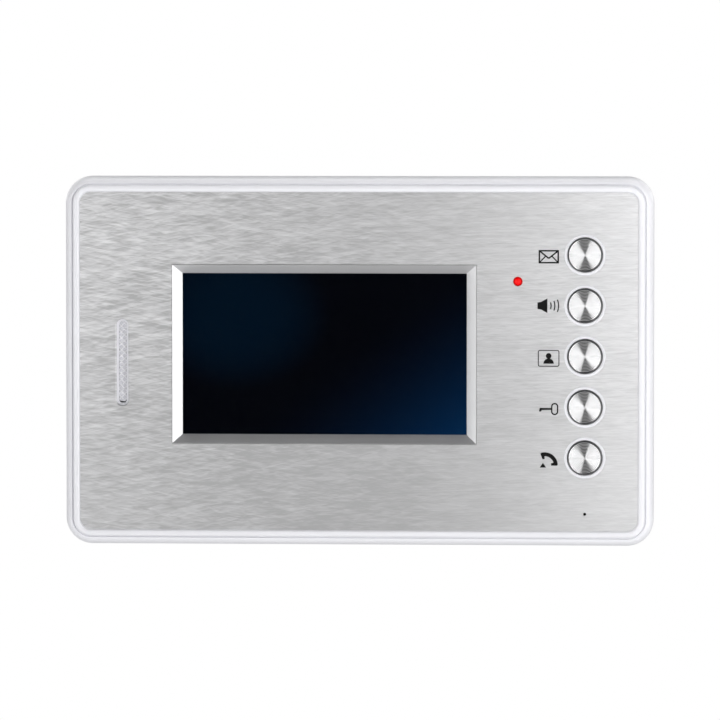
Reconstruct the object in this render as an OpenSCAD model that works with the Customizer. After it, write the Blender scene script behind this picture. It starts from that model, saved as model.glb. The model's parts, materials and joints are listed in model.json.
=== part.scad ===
// Video intercom monitor on its wall bracket.
// X runs to the right, Z up, and the front faces -Y. The wall is the plane y = 0.

/* [Casing] */
// Width across the casing
body_w = 198; // [192:1:240]
// Height of the casing
body_h = 124; // [122:1:150]
// Distance from the wall to the crest of the front ring
body_d = 22; // [21.5:0.1:28]
// Radius of the casing's outer corners
corner_r = 9; // [9:0.1:11]
// Wall thickness of both casing halves
wall_t = 2; // [1.6:0.1:2.4]
// Thickness of the panel behind the front plate
panel_t = 2; // [1.6:0.1:2.4]
// Thickness of the back wall and of the bracket recess's floor
floor_t = 1.8; // [1.4:0.1:2.2]
// Distance from the wall to the line where the casing halves meet
parting_d = 11.5; // [10.5:0.1:13]
// Width of the rounded shoulder, seen from the front
shoulder_w = 2.5; // [2:0.1:3]
// Depth of the rounded shoulder
shoulder_d = 6; // [4:0.1:6.5]
// Width of the thin groove between shoulder and ring
groove_w = 0.5; // [0.4:0.05:0.8]
// Width of the raised ring
ring_w = 2.2; // [1.8:0.1:2.6]
// Gap left between the casing's back and the wall
wall_gap = 0.5; // [0.3:0.1:1]

/* [Front plate] */
// Thickness of the brushed front plate
plate_t = 1; // [0.6:0.1:1.5]
// How far the plate's face lies below the ring's crest
plate_drop = 0.6; // [0.3:0.1:1]
// Gap round the plate
plate_gap = 0.1; // [0.05:0.05:0.3]

/* [Screen] */
// Visible width of the screen
screen_w = 95.6; // [79:0.1:96]
// Visible height of the screen
screen_h = 54.1; // [48:0.1:56]
// Distance from the casing's left side to the middle of the screen
screen_left = 87.5; // [85:0.5:90]
// Height of the screen's middle above the casing's middle
screen_z = 2.4; // [0:0.1:5]
// Width of the bezel's sloping sides, seen from the front
bezel_side = 3.35; // [2.5:0.05:4]
// Width of the bezel's sloping top and bottom, seen from the front
bezel_top = 3; // [2.5:0.05:4]
// Width of the bezel's flange, behind the panel
bezel_flange = 1.4; // [1:0.1:1.6]
// Thickness of the clear window
window_t = 1; // [0.8:0.1:1.5]
// Width of the ledge that the clear window is glued to
window_ledge = 2.7; // [2:0.1:3]
// Thickness of the foam between bezel and display
gasket_t = 0.5; // [0.3:0.1:1]
// Width of the display module beyond the visible screen
display_extra_w = 9.9; // [8:0.1:12]
// Height of the display module beyond the visible screen
display_extra_h = 13.1; // [10:0.1:15]
// Thickness of the display module
display_t = 3; // [2.6:0.1:3.6]
// Thickness of the display module's sheet steel
display_skin = 0.3; // [0.2:0.05:0.4]

/* [Keys] */
// Distance from the casing's right side to the middle of the keys
key_right = 23; // [21:0.5:26]
// Height of the middle key above the casing's middle
key_z = 1.9; // [0:0.1:4]
// Distance from one key to the next
key_pitch = 17; // [16:0.1:18]
// Outer diameter of a key
key_dia = 11.4; // [9.5:0.1:13]
// Width of the dark rim round a key's metal cap
key_rim = 0.4; // [0.3:0.05:1]
// Width of the bevel on that rim
key_bevel = 0.3; // [0.2:0.05:0.5]
// How far the keys stand proud of the plate
key_proud = 1.2; // [0.8:0.1:2]
// Thickness of a metal cap
cap_t = 0.8; // [0.5:0.1:1]
// Gap round a key in its collar
key_gap = 0.2; // [0.2:0.05:0.4]
// Width of the casing's collar round each key
collar_w = 1; // [0.5:0.05:1.2]
// How far each collar stands proud of the plate
collar_proud = 0.1; // [0:0.05:0.3]
// How far a key travels when it is pressed
key_travel = 0.5; // [0.3:0.05:0.6]
// Width of a plunger's flange beyond the key
flange_w = 1.4; // [1:0.1:1.6]
// Thickness of a plunger's flange
flange_t = 1; // [0.8:0.1:1.4]
// Side of a switch body
switch_w = 6; // [5:0.1:6.4]
// Height of a switch body
switch_h = 3.4; // [3:0.1:4]
// Height of the actuator above its switch body
actuator_h = 1.6; // [1.2:0.1:2]
// Diameter of the actuator
actuator_dia = 3.5; // [3:0.1:3.8]

/* [Lamp and microphone] */
// Distance from the lamp to the middle of the keys
lamp_left = 22.5; // [20:0.5:23]
// Height of the lamp above the casing's middle
lamp_z = 27; // [24:0.5:30]
// Diameter of the lamp's dome
lamp_dia = 2.9; // [2.5:0.1:5]
// Height of the microphone hole below the middle key
mic_drop = 52.9; // [50:0.1:54]
// Diameter of the microphone hole
mic_hole = 1; // [0.8:0.1:2]
// Diameter of the microphone capsule
mic_dia = 6; // [4:0.1:6.5]
// Height of the microphone capsule
mic_h = 2.7; // [2:0.1:4]

/* [Loudspeaker] */
// Distance from the casing's left side to the middle of the slot
slot_left = 19.6; // [19:0.1:21]
// Height of the slot's middle above the casing's middle
slot_z = -0.5; // [-3:0.1:3]
// Width of the slot
slot_w = 4; // [3:0.1:5]
// Length of the slot
slot_l = 29; // [20:0.5:36]
// Width of the sloping wall inside the slot
slot_slope = 0.7; // [0.4:0.1:1]
// Diameter of the loudspeaker
speaker_dia = 27; // [22:0.5:27]
// Distance from the slot's middle to the loudspeaker's middle
speaker_shift = 1; // [0:0.1:1.5]
// Height of the loudspeaker
speaker_h = 6.2; // [5:0.1:7]

/* [Boards] */
// Thickness of both circuit boards
board_t = 1.6; // [1:0.1:1.6]
// Room between the main board and the display
component_room = 2.8; // [2.6:0.1:3]
// Width of the main board
main_w = 100; // [90:1:104]
// Height of the main board
main_h = 72; // [66:1:74]
// Distance from the main board's middle down from the casing's middle
main_drop = 14; // [12:0.5:15]
// Width of the key board
keyboard_w = 38.5; // [37:0.5:39]
// Height of the key board
keyboard_h = 92; // [88:1:92]

/* [Wall bracket] */
// Width of the bracket
bracket_w = 126; // [118:1:128]
// Height of the bracket
bracket_h = 84; // [80:1:86]
// Thickness of the bracket's steel
bracket_t = 1.2; // [1:0.1:1.5]
// Room in front of the bracket for the heads of the wall screws
head_room = 3; // [2.5:0.1:3.2]
// Distance between the corner screw holes, sideways
screw_span_w = 64; // [58:1:70]
// Distance between the corner screw holes, up and down
screw_span_h = 66; // [60:1:68]
// Diameter of the corner screw holes
screw_hole = 4.5; // [4:0.1:5]
// Distance between the slots for a wall box
box_span = 60; // [58:1:62]
// Length of each wall box slot
box_slot_l = 8; // [6:0.5:9]
// Width of each wall box slot
box_slot_w = 4.2; // [3.5:0.1:4.5]
// Width of the cable opening
cable_w = 44; // [40:1:46]
// Height of the cable opening
cable_h = 30; // [26:1:34]
// Width of each hook
hook_w = 8; // [6:0.5:9]
// Height of each hook's tongue above its leg
hook_rise = 7; // [5:0.5:7.5]
// Distance between the left and right hooks
hook_span_w = 96; // [94:1:100]
// Distance between the upper and lower hooks
hook_span_h = 46; // [40:1:48]
// How far the monitor is lifted to free it from the hooks
lift_travel = 8; // [7:0.5:8.5]

/* [Hidden] */
KEYS = ["message", "volume", "view", "unlock", "talk"];
$fn = 48;

// Depths, all measured from the wall
recess_d = bracket_t + head_room;
floor_d = recess_d + floor_t;
back_d = wall_gap + floor_t;
plate_face = body_d - plate_drop;
panel_face = plate_face - plate_t;
panel_back = panel_face - panel_t;
window_back = panel_back - window_t;
gasket_back = window_back - gasket_t;
display_back = gasket_back - display_t;
main_face = display_back - component_room;
main_back = main_face - board_t;
flange_face = panel_back - 0.2;
flange_back = flange_face - flange_t;
actuator_top = flange_back - 0.6;
switch_top = actuator_top - actuator_h;
keyboard_face = switch_top - switch_h;
keyboard_back = keyboard_face - board_t;
shoulder_top = body_d - 1.5;
tongue_back = floor_d + 0.4;
tongue_face = tongue_back + bracket_t;

// Rim: distances inwards from the casing's outline
groove_in = shoulder_w + groove_w;
ring_in = groove_in + ring_w;
rear_step = 0.6;
lip_t = 1;
lip_gap = 0.1;
lip_in = wall_t + lip_gap;
rear_round = 3.5;
plate_w = body_w - 2 * (ring_in + plate_gap);
plate_h = body_h - 2 * (ring_in + plate_gap);
plate_r = corner_r - ring_in - plate_gap;
rim_in = corner_r - 0.5;

// Screen
screen_x = screen_left - body_w / 2;
bezel_w = screen_w + 2 * bezel_side;
bezel_h = screen_h + 2 * bezel_top;
bezel_gap = 0.1;
bezel_lip = 0.15;
flange_out_w = bezel_w + 2 * bezel_flange;
flange_out_h = bezel_h + 2 * bezel_flange;
window_w = screen_w + 2 * window_ledge;
window_h = screen_h + 2 * window_ledge;
display_w = screen_w + display_extra_w;
display_h = screen_h + display_extra_h;
display_open_w = screen_w + 1.6;
display_open_h = screen_h + 1.6;
rib_t = 1.5;
rib_gap = 0.3;
clamp_offset = 35;
clamp_w = 12;
clamp_grip = 4;
clamp_t = 0.8;

// Keys
key_x = body_w / 2 - key_right;
key_r = key_dia / 2;
hole_r = key_r + key_gap;
collar_r = hole_r + collar_w;
key_top = plate_face + key_proud;
cap_r = key_r - key_rim;
cap_back = key_top - cap_t;
flange_r = key_r + flange_w;
actuator_sunk = 1;
symbol_x = key_x - 12.15;
ink_t = 0.08;
symbol_drop = 0.6;
function key_height(i) = key_z + (2 - i) * key_pitch;

// Lamp and microphone
lamp_x = key_x - lamp_left;
lamp_r = lamp_dia / 2;
lamp_top = plate_face + 0.6;
lamp_length = 5.3;
mic_z = key_z - mic_drop;
boot_wall = 1;
boot_front = 0.8;
boot_r = mic_dia / 2 + boot_wall;
boot_back = panel_back - boot_front - mic_h;

// Loudspeaker
slot_x = slot_left - body_w / 2;
speaker_x = slot_x - speaker_shift;
speaker_r = speaker_dia / 2;
speaker_foam = 0.6;
speaker_face = panel_back - speaker_foam;
speaker_back = speaker_face - speaker_h;
speaker_rim = 0.8;
tab_in = 1.4;
tab_back = speaker_face - speaker_rim - 0.8;
magnet_r = 7;
strip_t = 1;
strip_reach = speaker_r + 6;
mesh_t = 0.5;
mesh_gap = 0.2;
mesh_w = slot_w + 2;
mesh_l = slot_l + 2;
mesh_face = panel_face - 1;

// Boards
main_x = screen_x;
main_z = -main_drop;
board_hole_x = main_w / 2 - 4;
board_hole_z = main_h / 2 - 4;
keyboard_x = key_x + 9.5 - keyboard_w / 2;
keyboard_z = key_z;
keyboard_posts = [for (y = [-40, 0, 40]) [key_x - 14, keyboard_z + y]];
terminal_z = 0;
terminal_w = 12.4;
terminal_h = 5.8;
terminal_l = main_back - bracket_t - 1.3;
terminal_gap = 3;
bay_w = 2 * terminal_w + terminal_gap + 6;
bay_h = terminal_h + 6;
ribbon_z = -14;
ribbon_w = 10;
socket_l = 5;
socket_h = 2;
tail_w = 20.5;
tail_t = 0.3;

// Screws
post_r = 3.2;
pilot_r = 1.1;
screw_r = 1.1;
head_r = 2.4;
head_h = 1.6;
case_post_r = 3.6;
case_pilot_r = 1.3;
case_screw_r = 1.3;
case_head_r = 2.8;
case_head_h = 2.2;
case_screw_l = 10;
case_post_x = body_w / 2 - 11;
case_post_z = body_h / 2 - 10;
well_r = case_head_r + 0.5;
well_floor = wall_gap + 4;
case_post_back = well_floor + floor_t;

// Bracket
hang_gap = 0.1;
side_gap = 0.75;
recess_gap = 1.5;
hook_z = [hook_span_h / 2, -hook_span_h / 2];

function arc(r, from, to, steps) = [
    for (i = [0:steps]) let (a = from + (to - from) * i / steps) [r * cos(a), r * sin(a)]
];
function shifted(points, by) = [for (p = points) p + by];

// A piece is drawn with X right, Y up and Z out of the wall, then stood up.
module stand_up() {
    rotate([90, 0, 0]) children();
}

module at(x, y, z = 0) {
    translate([x, y, z]) children();
}

module rounded_rect(w, h, r) {
    square([w - 2 * r, h], center = true);
    square([w, h - 2 * r], center = true);
    for (x = [-1, 1], y = [-1, 1])
        translate([x * (w / 2 - r), y * (h / 2 - r)]) circle(r);
}

module slot_2d(l, w) {
    square([l - w, w], center = true);
    for (x = [-1, 1]) translate([x * (l - w) / 2, 0]) circle(w / 2);
}

module block(w, h, z0, z1) {
    translate([-w / 2, -h / 2, z0]) cube([w, h, z1 - z0]);
}

module disc(r, z0, z1) {
    translate([0, 0, z0]) cylinder(r = r, h = z1 - z0);
}

module line_2d(a, b, t) {
    d = b - a;
    translate(a) rotate(atan2(d[1], d[0])) translate([0, -t / 2]) square([norm(d), t]);
}

module ring_sector_2d(r, t, from, to) {
    reach = 3 * r;
    intersection() {
        difference() {
            circle(r + t / 2);
            circle(r - t / 2);
        }
        polygon(concat([[0, 0]], arc(reach, from, to, 4)));
    }
}

// Sweeps a section, given as [inset, depth] points, round a rounded rectangle.
module swept_rim(w, h, r, section) {
    for (x = [0, 1], y = [0, 1])
        mirror([x, 0, 0]) mirror([0, y, 0]) translate([w / 2 - r, h / 2 - r, 0])
            rotate_extrude(angle = 90) polygon([for (p = section) [r - p[0], p[1]]]);
    for (y = [0, 1])
        mirror([0, y, 0]) rotate([90, 0, 90]) linear_extrude(w - 2 * r, center = true)
            polygon([for (p = section) [h / 2 - p[0], p[1]]]);
    for (x = [0, 1])
        mirror([x, 0, 0]) rotate([90, 0, 0]) linear_extrude(h - 2 * r, center = true)
            polygon([for (p = section) [w / 2 - p[0], p[1]]]);
}

// A pocket with four mitred sloping sides, from w0 x h0 at z0 to w1 x h1 at z1.
module tapered_pocket(w0, h0, w1, h1, z0, z1) {
    over = 1;
    k = over / (z1 - z0);
    w2 = w1 + (w1 - w0) * k;
    h2 = h1 + (h1 - h0) * k;
    intersection() {
        rotate([90, 0, 0]) linear_extrude(2 * h2, center = true)
            polygon([[-w0 / 2, z0], [w0 / 2, z0], [w2 / 2, z1 + over], [-w2 / 2, z1 + over]]);
        rotate([90, 0, 90]) linear_extrude(2 * w2, center = true)
            polygon([[-h0 / 2, z0], [h0 / 2, z0], [h2 / 2, z1 + over], [-h2 / 2, z1 + over]]);
    }
}

// A pan-head screw whose head rests at z and whose shank runs towards +Z.
module pan_screw(z, shank_r, shank_l, top_r, top_h) {
    recess_w = top_r * 0.36;
    recess_d = top_h * 0.6;
    difference() {
        union() {
            translate([0, 0, z - top_h]) cylinder(r1 = top_r * 0.72, r2 = top_r, h = top_h * 0.4);
            disc(top_r, z - top_h * 0.6, z);
            disc(shank_r, z - 0.1, z + shank_l - 1);
            translate([0, 0, z + shank_l - 1]) cylinder(r1 = shank_r, r2 = shank_r * 0.5, h = 1);
        }
        for (a = [0, 90])
            rotate(a) translate([-top_r * 0.55, -recess_w / 2, z - top_h - 1])
                cube([top_r * 1.1, recess_w, recess_d + 1]);
    }
}

function bezier(p, t) = pow(1 - t, 3) * p[0] + 3 * t * pow(1 - t, 2) * p[1]
    + 3 * t * t * (1 - t) * p[2] + pow(t, 3) * p[3];
function bezier_slope(p, t) = pow(1 - t, 2) * (p[1] - p[0]) + 2 * t * (1 - t) * (p[2] - p[1])
    + t * t * (p[3] - p[2]);

// A wire of radius r along the curve with the control points p, which never runs along across.
module wire(p, r, across) {
    sides = 8;
    rings = 14;
    rows = [for (i = [0:rings]) let (
        t = i / rings,
        d = bezier_slope(p, t),
        side = cross(d, across) / norm(cross(d, across)),
        up = cross(side, d) / norm(cross(side, d)),
        c = bezier(p, t)
    ) [for (j = [0:sides - 1]) let (a = 360 * j / sides) c + r * (cos(a) * side + sin(a) * up)]];
    points = [for (row = rows) each row];
    body = [for (i = [0:rings - 1], j = [0:sides - 1]) let (k = (j + 1) % sides)
        [i * sides + j, (i + 1) * sides + j, (i + 1) * sides + k, i * sides + k]];
    start = [[for (j = [0:sides - 1]) j]];
    end = [[for (j = [sides - 1:-1:0]) rings * sides + j]];
    polyhedron(points, concat(body, start, end));
}

// Wall bracket

module hook() {
    profile = [
        [0, bracket_t * 0.2], [tongue_face, 0], [tongue_face, bracket_t + hook_rise - 1],
        [tongue_face - 0.3, bracket_t + hook_rise], [tongue_back, bracket_t + hook_rise],
        [tongue_back, bracket_t], [0, bracket_t]
    ];
    rotate([90, 0, 90]) linear_extrude(hook_w, center = true)
        polygon([for (p = profile) [p[1], p[0]]]);
}

module wall_bracket() color("silver") stand_up() {
    hook_window = bracket_t + hook_rise + 3;
    linear_extrude(bracket_t) difference() {
        rounded_rect(bracket_w, bracket_h, 4);
        square([cable_w, cable_h], center = true);
        for (x = [-1, 1], y = [-1, 1])
            translate([x * screw_span_w / 2, y * screw_span_h / 2]) circle(screw_hole / 2);
        for (x = [-1, 1]) translate([x * box_span / 2, 0]) slot_2d(box_slot_l, box_slot_w);
        for (x = [-1, 1], z = hook_z)
            translate([x * hook_span_w / 2, z + bracket_t + hook_window / 2])
                square([hook_w + 1, hook_window], center = true);
    }
    for (x = [-1, 1], z = hook_z) at(x * hook_span_w / 2, z) hook();
}

// Casings

shoulder = [for (i = [0:6]) let (a = 90 * i / 6)
    [shoulder_w * (1 - cos(a)), shoulder_top - shoulder_d + shoulder_d * sin(a)]];
ring_round = 0.9;
ring_profile = concat(
    shifted([for (i = [0:4]) let (a = 90 * i / 4) [ring_round * (1 - cos(a)), ring_round * sin(a)]],
        [groove_in, body_d - ring_round]),
    shifted([for (i = [0:4]) let (a = 90 - 90 * i / 4) [ring_round * (cos(a) - 1), ring_round * sin(a)]],
        [ring_in, body_d - ring_round])
);
front_section = concat(
    [[0, parting_d]],
    shoulder,
    [[shoulder_w, shoulder_top - 0.8], [groove_in, shoulder_top - 0.8]],
    ring_profile,
    [[ring_in, panel_face], [rim_in, panel_face], [rim_in, panel_back], [wall_t + 1, panel_back]],
    [[wall_t, panel_back - 1], [wall_t, parting_d]]
);

module place_all(places) {
    for (p = places) translate([p[0], p[1], 0]) children();
}

module place_keys() {
    for (i = [0:len(KEYS) - 1]) at(key_x, key_height(i)) children();
}

case_posts = [for (x = [-1, 1], y = [-1, 1]) [x * case_post_x, y * case_post_z]];
main_posts = [for (x = [-1, 1], y = [-1, 1]) [main_x + x * board_hole_x, main_z + y * board_hole_z]];
strip_posts = [for (y = [-1, 1]) [speaker_x, slot_z + y * strip_reach]];
clamp_rise = display_h / 2 + rib_gap + post_r + 0.2;
clamp_posts = [for (x = [-1, 1], y = [-1, 1]) [screen_x + x * clamp_offset, screen_z + y * clamp_rise]];

// The loudspeaker slot, with its wall sloping in towards z0.
module sloping_slot(z0, z1) {
    over = 0.5;
    r0 = slot_w / 2 - slot_slope;
    r1 = slot_w / 2 + slot_slope * over / (z1 - z0);
    straight = slot_l - slot_w;
    for (y = [-1, 1])
        translate([0, y * straight / 2, z0]) cylinder(r1 = r0, r2 = r1, h = z1 - z0 + over);
    rotate([90, 0, 0]) linear_extrude(straight, center = true)
        polygon([[-r0, z0], [r0, z0], [r1, z1 + over], [-r1, z1 + over]]);
}

module upright_slot(l, w, z0, z1) {
    translate([0, 0, z0]) linear_extrude(z1 - z0) rotate(90) slot_2d(l, w);
}

module front_solid() {
    swept_rim(body_w, body_h, corner_r, front_section);
    translate([0, 0, panel_back]) linear_extrude(panel_t)
        square([body_w - 2 * rim_in + 1, body_h - 2 * rim_in + 1], center = true);
    place_all(case_posts) disc(case_post_r, case_post_back, panel_back + 1);
    place_all(clamp_posts) disc(post_r, display_back, panel_back + 1);
    place_all(keyboard_posts) disc(post_r, keyboard_face, panel_back + 1);
    place_all(strip_posts) disc(post_r, speaker_back, panel_back + 1);
    place_keys() disc(collar_r, panel_back + 1, plate_face + collar_proud);
    at(key_x, mic_z) disc(boot_r + 1.1, panel_back - 2.4, panel_back + 1);
    at(speaker_x, slot_z) disc(speaker_r + 1.2, speaker_face - speaker_rim, panel_back + 1);
    at(screen_x, screen_z) block(
        display_w + 2 * (rib_gap + rib_t), display_h + 2 * (rib_gap + rib_t),
        display_back + 0.6, panel_back + 1
    );
}

module front_casing() color("white") stand_up() difference() {
    front_solid();
    at(screen_x, screen_z) {
        block(bezel_w + 2 * bezel_gap, bezel_h + 2 * bezel_gap, panel_back - 1, body_d);
        block(display_w + 2 * rib_gap, display_h + 2 * rib_gap, display_back - 1, panel_back);
        translate([0, -display_h / 2, 0]) block(tail_w + 4, 10, display_back - 1, panel_back - 1);
    }
    place_keys() disc(hole_r, panel_back - 1, body_d);
    at(lamp_x, lamp_z) disc(lamp_r + 0.15, panel_back - 1, body_d);
    at(key_x, mic_z) {
        disc(mic_hole / 2 + 0.3, panel_back - 1, body_d);
        disc(boot_r + 0.1, panel_back - 4, panel_back);
    }
    at(speaker_x, slot_z) disc(speaker_r + 0.2, speaker_back - 1, panel_back);
    at(slot_x, slot_z) {
        sloping_slot(mesh_face, panel_face);
        upright_slot(mesh_l + 2 * mesh_gap, mesh_w + 2 * mesh_gap, panel_back - 1, mesh_face);
    }
    place_all(case_posts) disc(case_pilot_r + 0.05, case_post_back - 1, case_post_back + case_screw_l);
    place_all(clamp_posts) disc(pilot_r + 0.05, display_back - 1, panel_back - 0.4);
    place_all(keyboard_posts) disc(pilot_r + 0.05, keyboard_face - 1, panel_back - 0.4);
    place_all(strip_posts) disc(pilot_r + 0.05, speaker_back - 1, panel_back - 0.4);
}

rear_top = 4;
rear_section = concat(
    [[rear_step, parting_d], [rear_step + wall_t, rear_top]],
    shifted(
        [for (i = [1:4]) let (a = 90 * i / 4) [rear_round * (1 - cos(a)), -rear_round * sin(a)]],
        [rear_step + wall_t, rear_top]
    ),
    [[rim_in, wall_gap], [rim_in, back_d], [rear_step + 2 * wall_t + 1.8, back_d]],
    [[rear_step + 2 * wall_t, back_d + 1.8], [lip_in + lip_t, parting_d - 1]],
    [[lip_in + lip_t, parting_d + 1.5], [lip_in, parting_d + 1.5], [lip_in, parting_d]]
);
recess_w = bracket_w + 2 * recess_gap;
recess_h = bracket_h + 2 * recess_gap + lift_travel;
vent_x = (recess_w / 2 + floor_t + body_w / 2 - rim_in) / 2;
vent_pitch = 4;
vent_rows = 11;

module rear_solid() {
    swept_rim(body_w, body_h, corner_r, rear_section);
    translate([0, 0, wall_gap]) linear_extrude(floor_t)
        square([body_w - 2 * rim_in + 1, body_h - 2 * rim_in + 1], center = true);
    at(0, -lift_travel / 2) block(recess_w + 2 * floor_t, recess_h + 2 * floor_t, wall_gap, floor_d);
    place_all(case_posts) disc(well_r + 1.6, wall_gap, case_post_back);
    place_all(main_posts) disc(post_r, recess_d, main_back);
}

module rear_casing() color("whitesmoke") stand_up() difference() {
    rear_solid();
    at(0, -lift_travel / 2) block(recess_w, recess_h, wall_gap - 1, recess_d);
    at(0, terminal_z) block(bay_w, bay_h, wall_gap, floor_d + 1);
    slot_h = bracket_t + hang_gap + lift_travel + 0.5;
    for (x = [-1, 1], z = hook_z)
        at(x * hook_span_w / 2, z + bracket_t + hang_gap - slot_h / 2)
            block(hook_w + 2 * side_gap, slot_h, wall_gap, floor_d + 1);
    place_all(case_posts) {
        disc(well_r, wall_gap - 1, well_floor);
        disc(case_screw_r + 0.3, wall_gap, case_post_back + 1);
    }
    place_all(main_posts) disc(pilot_r + 0.05, recess_d + 0.8, main_back + 1);
    for (x = [-1, 1], i = [0:vent_rows - 1])
        at(x * vent_x, (i - (vent_rows - 1) / 2) * vent_pitch)
            translate([0, 0, wall_gap - 1]) linear_extrude(floor_t + 2) slot_2d(16, 1.8);
}

// Front plate, symbols and bezel

module front_plate() color("lightgray") stand_up() {
    difference() {
        translate([0, 0, panel_face]) linear_extrude(plate_t) rounded_rect(plate_w, plate_h, plate_r);
        at(screen_x, screen_z)
            block(bezel_w + 2 * bezel_gap, bezel_h + 2 * bezel_gap, panel_back, body_d);
        place_keys() disc(collar_r + plate_gap, panel_back, body_d);
        at(lamp_x, lamp_z) disc(lamp_r + 0.15, panel_back, body_d);
        at(key_x, mic_z) disc(mic_hole / 2, panel_back, body_d);
        at(slot_x, slot_z) upright_slot(slot_l, slot_w, panel_back, body_d);
    }
}

module envelope_symbol() {
    w = 6.8;
    h = 4.5;
    t = 0.5;
    difference() {
        square([w, h], center = true);
        square([w - 2 * t, h - 2 * t], center = true);
    }
    for (x = [-1, 1]) {
        line_2d([x * (w / 2 - t / 2), h / 2 - t / 2], [0, -0.55], t);
        line_2d([x * (w / 2 - t / 2), -h / 2 + t / 2], [x * 1.1, 0.15], t * 0.8);
    }
}

module loudspeaker_symbol() {
    polygon([[-3.75, -1.1], [-3.75, 1.1], [-2.5, 1.3], [-0.45, 2.45], [-0.45, -2.45], [-2.5, -1.3]]);
    for (i = [0:2]) translate([-2.2, 0]) ring_sector_2d(3 + 1.25 * i, 0.4, -22, 22);
}

module person_symbol() {
    w = 7.2;
    h = 5.6;
    difference() {
        rounded_rect(w, h, 0.7);
        rounded_rect(w - 0.6, h - 0.6, 0.4);
    }
    translate([0, 0.8]) circle(0.95);
    difference() {
        translate([0, -1.8]) circle(1.75);
        translate([-3, -4.8]) square([6, 3]);
    }
}

module key_symbol() {
    translate([2.05, 0]) difference() {
        rounded_rect(2.4, 4.1, 1.15);
        rounded_rect(1.5, 3.1, 0.7);
    }
    polygon([[-3.2, -0.85], [-2.95, 0.4], [0.95, 0.33], [0.95, -0.27], [-2.3, -0.32], [-2.45, -0.85]]);
}

module handset_symbol() {
    translate([-1.26, -1.93]) {
        ring_sector_2d(3.75, 1.3, 3, 106);
        ring_sector_2d(3.2, 2.1, -1, 18);
        ring_sector_2d(3.2, 2.1, 91, 110);
    }
    polygon([[-2.95, -2.65], [-0.75, -2.65], [-1.85, -1.05]]);
}

module key_symbols() color("black") stand_up() translate([symbol_x, 0, plate_face])
    linear_extrude(ink_t) {
        translate([0, key_height(0) - symbol_drop]) envelope_symbol();
        translate([0, key_height(1)]) loudspeaker_symbol();
        translate([0, key_height(2) - symbol_drop]) person_symbol();
        translate([0, key_height(3) - symbol_drop]) key_symbol();
        translate([0, key_height(4) - symbol_drop]) handset_symbol();
    }

module screen_bezel() color("silver") stand_up() at(screen_x, screen_z) difference() {
    union() {
        block(bezel_w, bezel_h, window_back, plate_face);
        block(flange_out_w, flange_out_h, window_back, panel_back);
    }
    tapered_pocket(
        screen_w, screen_h, bezel_w - 2 * bezel_lip, bezel_h - 2 * bezel_lip, panel_back, plate_face
    );
    block(screen_w, screen_h, window_back - 1, panel_back + 0.5);
    block(window_w + 0.2, window_h + 0.2, window_back - 1, panel_back);
}

module screen_window() color("lightcyan", 0.4) stand_up() at(screen_x, screen_z)
    block(window_w, window_h, window_back, panel_back);

// Display

module window_gasket() color("dimgray") stand_up() at(screen_x, screen_z) difference() {
    block(flange_out_w - 0.4, flange_out_h - 0.4, gasket_back, window_back);
    block(display_open_w, display_open_h, gasket_back - 1, window_back + 1);
}

module display_frame() color("gainsboro") stand_up() at(screen_x, screen_z) difference() {
    block(display_w, display_h, display_back, gasket_back);
    block(display_w - 2 * display_skin, display_h - 2 * display_skin,
        display_back + display_skin, gasket_back - display_skin);
    block(display_open_w, display_open_h, gasket_back - 1, gasket_back + 1);
}

glass_t = 1.4;
glass_back = gasket_back - display_skin - glass_t;

module display_glass() color("black") stand_up() at(screen_x, screen_z)
    block(display_w - 2 * display_skin - 0.4, display_h - 2 * display_skin - 0.4,
        glass_back, gasket_back - display_skin);

module display_backlight() color("ivory") stand_up() at(screen_x, screen_z)
    block(display_w - 2 * display_skin - 0.4, display_h - 2 * display_skin - 0.4,
        display_back + display_skin, glass_back);

tail_start = screen_z - display_h / 2;
tail_high = display_back + 1.2;
tail_low = main_face + 1.2;
tail_bend = (tail_high - tail_low) / 2;
tail_end = tail_start + 4.7;

module display_tail() color("orange") stand_up() at(screen_x, 0) {
    turn = [for (i = [0:8]) 90 + 180 * i / 8];
    centre = [tail_start - 1.4, (tail_high + tail_low) / 2];
    outside = concat([[tail_start, tail_high + tail_t / 2]],
        [for (a = turn) centre + (tail_bend + tail_t / 2) * [cos(a), sin(a)]],
        [[tail_end, tail_low - tail_t / 2]]);
    inside = concat([[tail_end, tail_low + tail_t / 2]],
        [for (i = [8:-1:0]) centre + (tail_bend - tail_t / 2) * [cos(turn[i]), sin(turn[i])]],
        [[tail_start, tail_high - tail_t / 2]]);
    rotate([90, 0, 90]) linear_extrude(tail_w, center = true) polygon(concat(outside, inside));
}

module tail_socket() color("tan") stand_up() at(screen_x, tail_end + socket_l / 2)
    block(tail_w + 2, socket_l, main_face, main_face + socket_h);

module display_clamps() color("silver") stand_up() for (i = [0:3]) {
    inward = i % 2 == 0 ? 1 : -1;
    place = clamp_posts[i];
    reach = post_r + rib_gap + 0.2 + clamp_grip;
    at(place[0], place[1]) difference() {
        translate([0, inward * (reach - post_r) / 2, 0])
            block(clamp_w, reach + post_r, display_back - clamp_t, display_back);
        disc(screw_r + 0.2, 0, body_d);
    }
}

module clamp_screws() color("gray") stand_up() {
    place_all(clamp_posts) pan_screw(display_back - clamp_t, screw_r, 4, head_r, head_h);
    place_all(strip_posts) pan_screw(speaker_back - strip_t, screw_r, 6, head_r, head_h);
}

// Keys

module key_cap(i) color("gainsboro") stand_up() at(key_x, key_height(i))
    rotate_extrude() polygon([
        [0, cap_back], [cap_r, cap_back], [cap_r, key_top - 0.05], [cap_r - 0.05, key_top],
        [cap_r * 0.5, key_top - 0.07], [0, key_top - 0.1]
    ]);

module key_plunger(i) color("dimgray") stand_up() at(key_x, key_height(i)) {
    rotate_extrude() polygon([
        [0, flange_back], [flange_r, flange_back], [flange_r, flange_face], [key_r, flange_face],
        [key_r, key_top - key_bevel], [key_r - key_bevel, key_top], [cap_r + 0.05, key_top],
        [cap_r + 0.05, cap_back], [0, cap_back]
    ]);
    disc(2, actuator_top, flange_back + 0.1);
}

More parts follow.
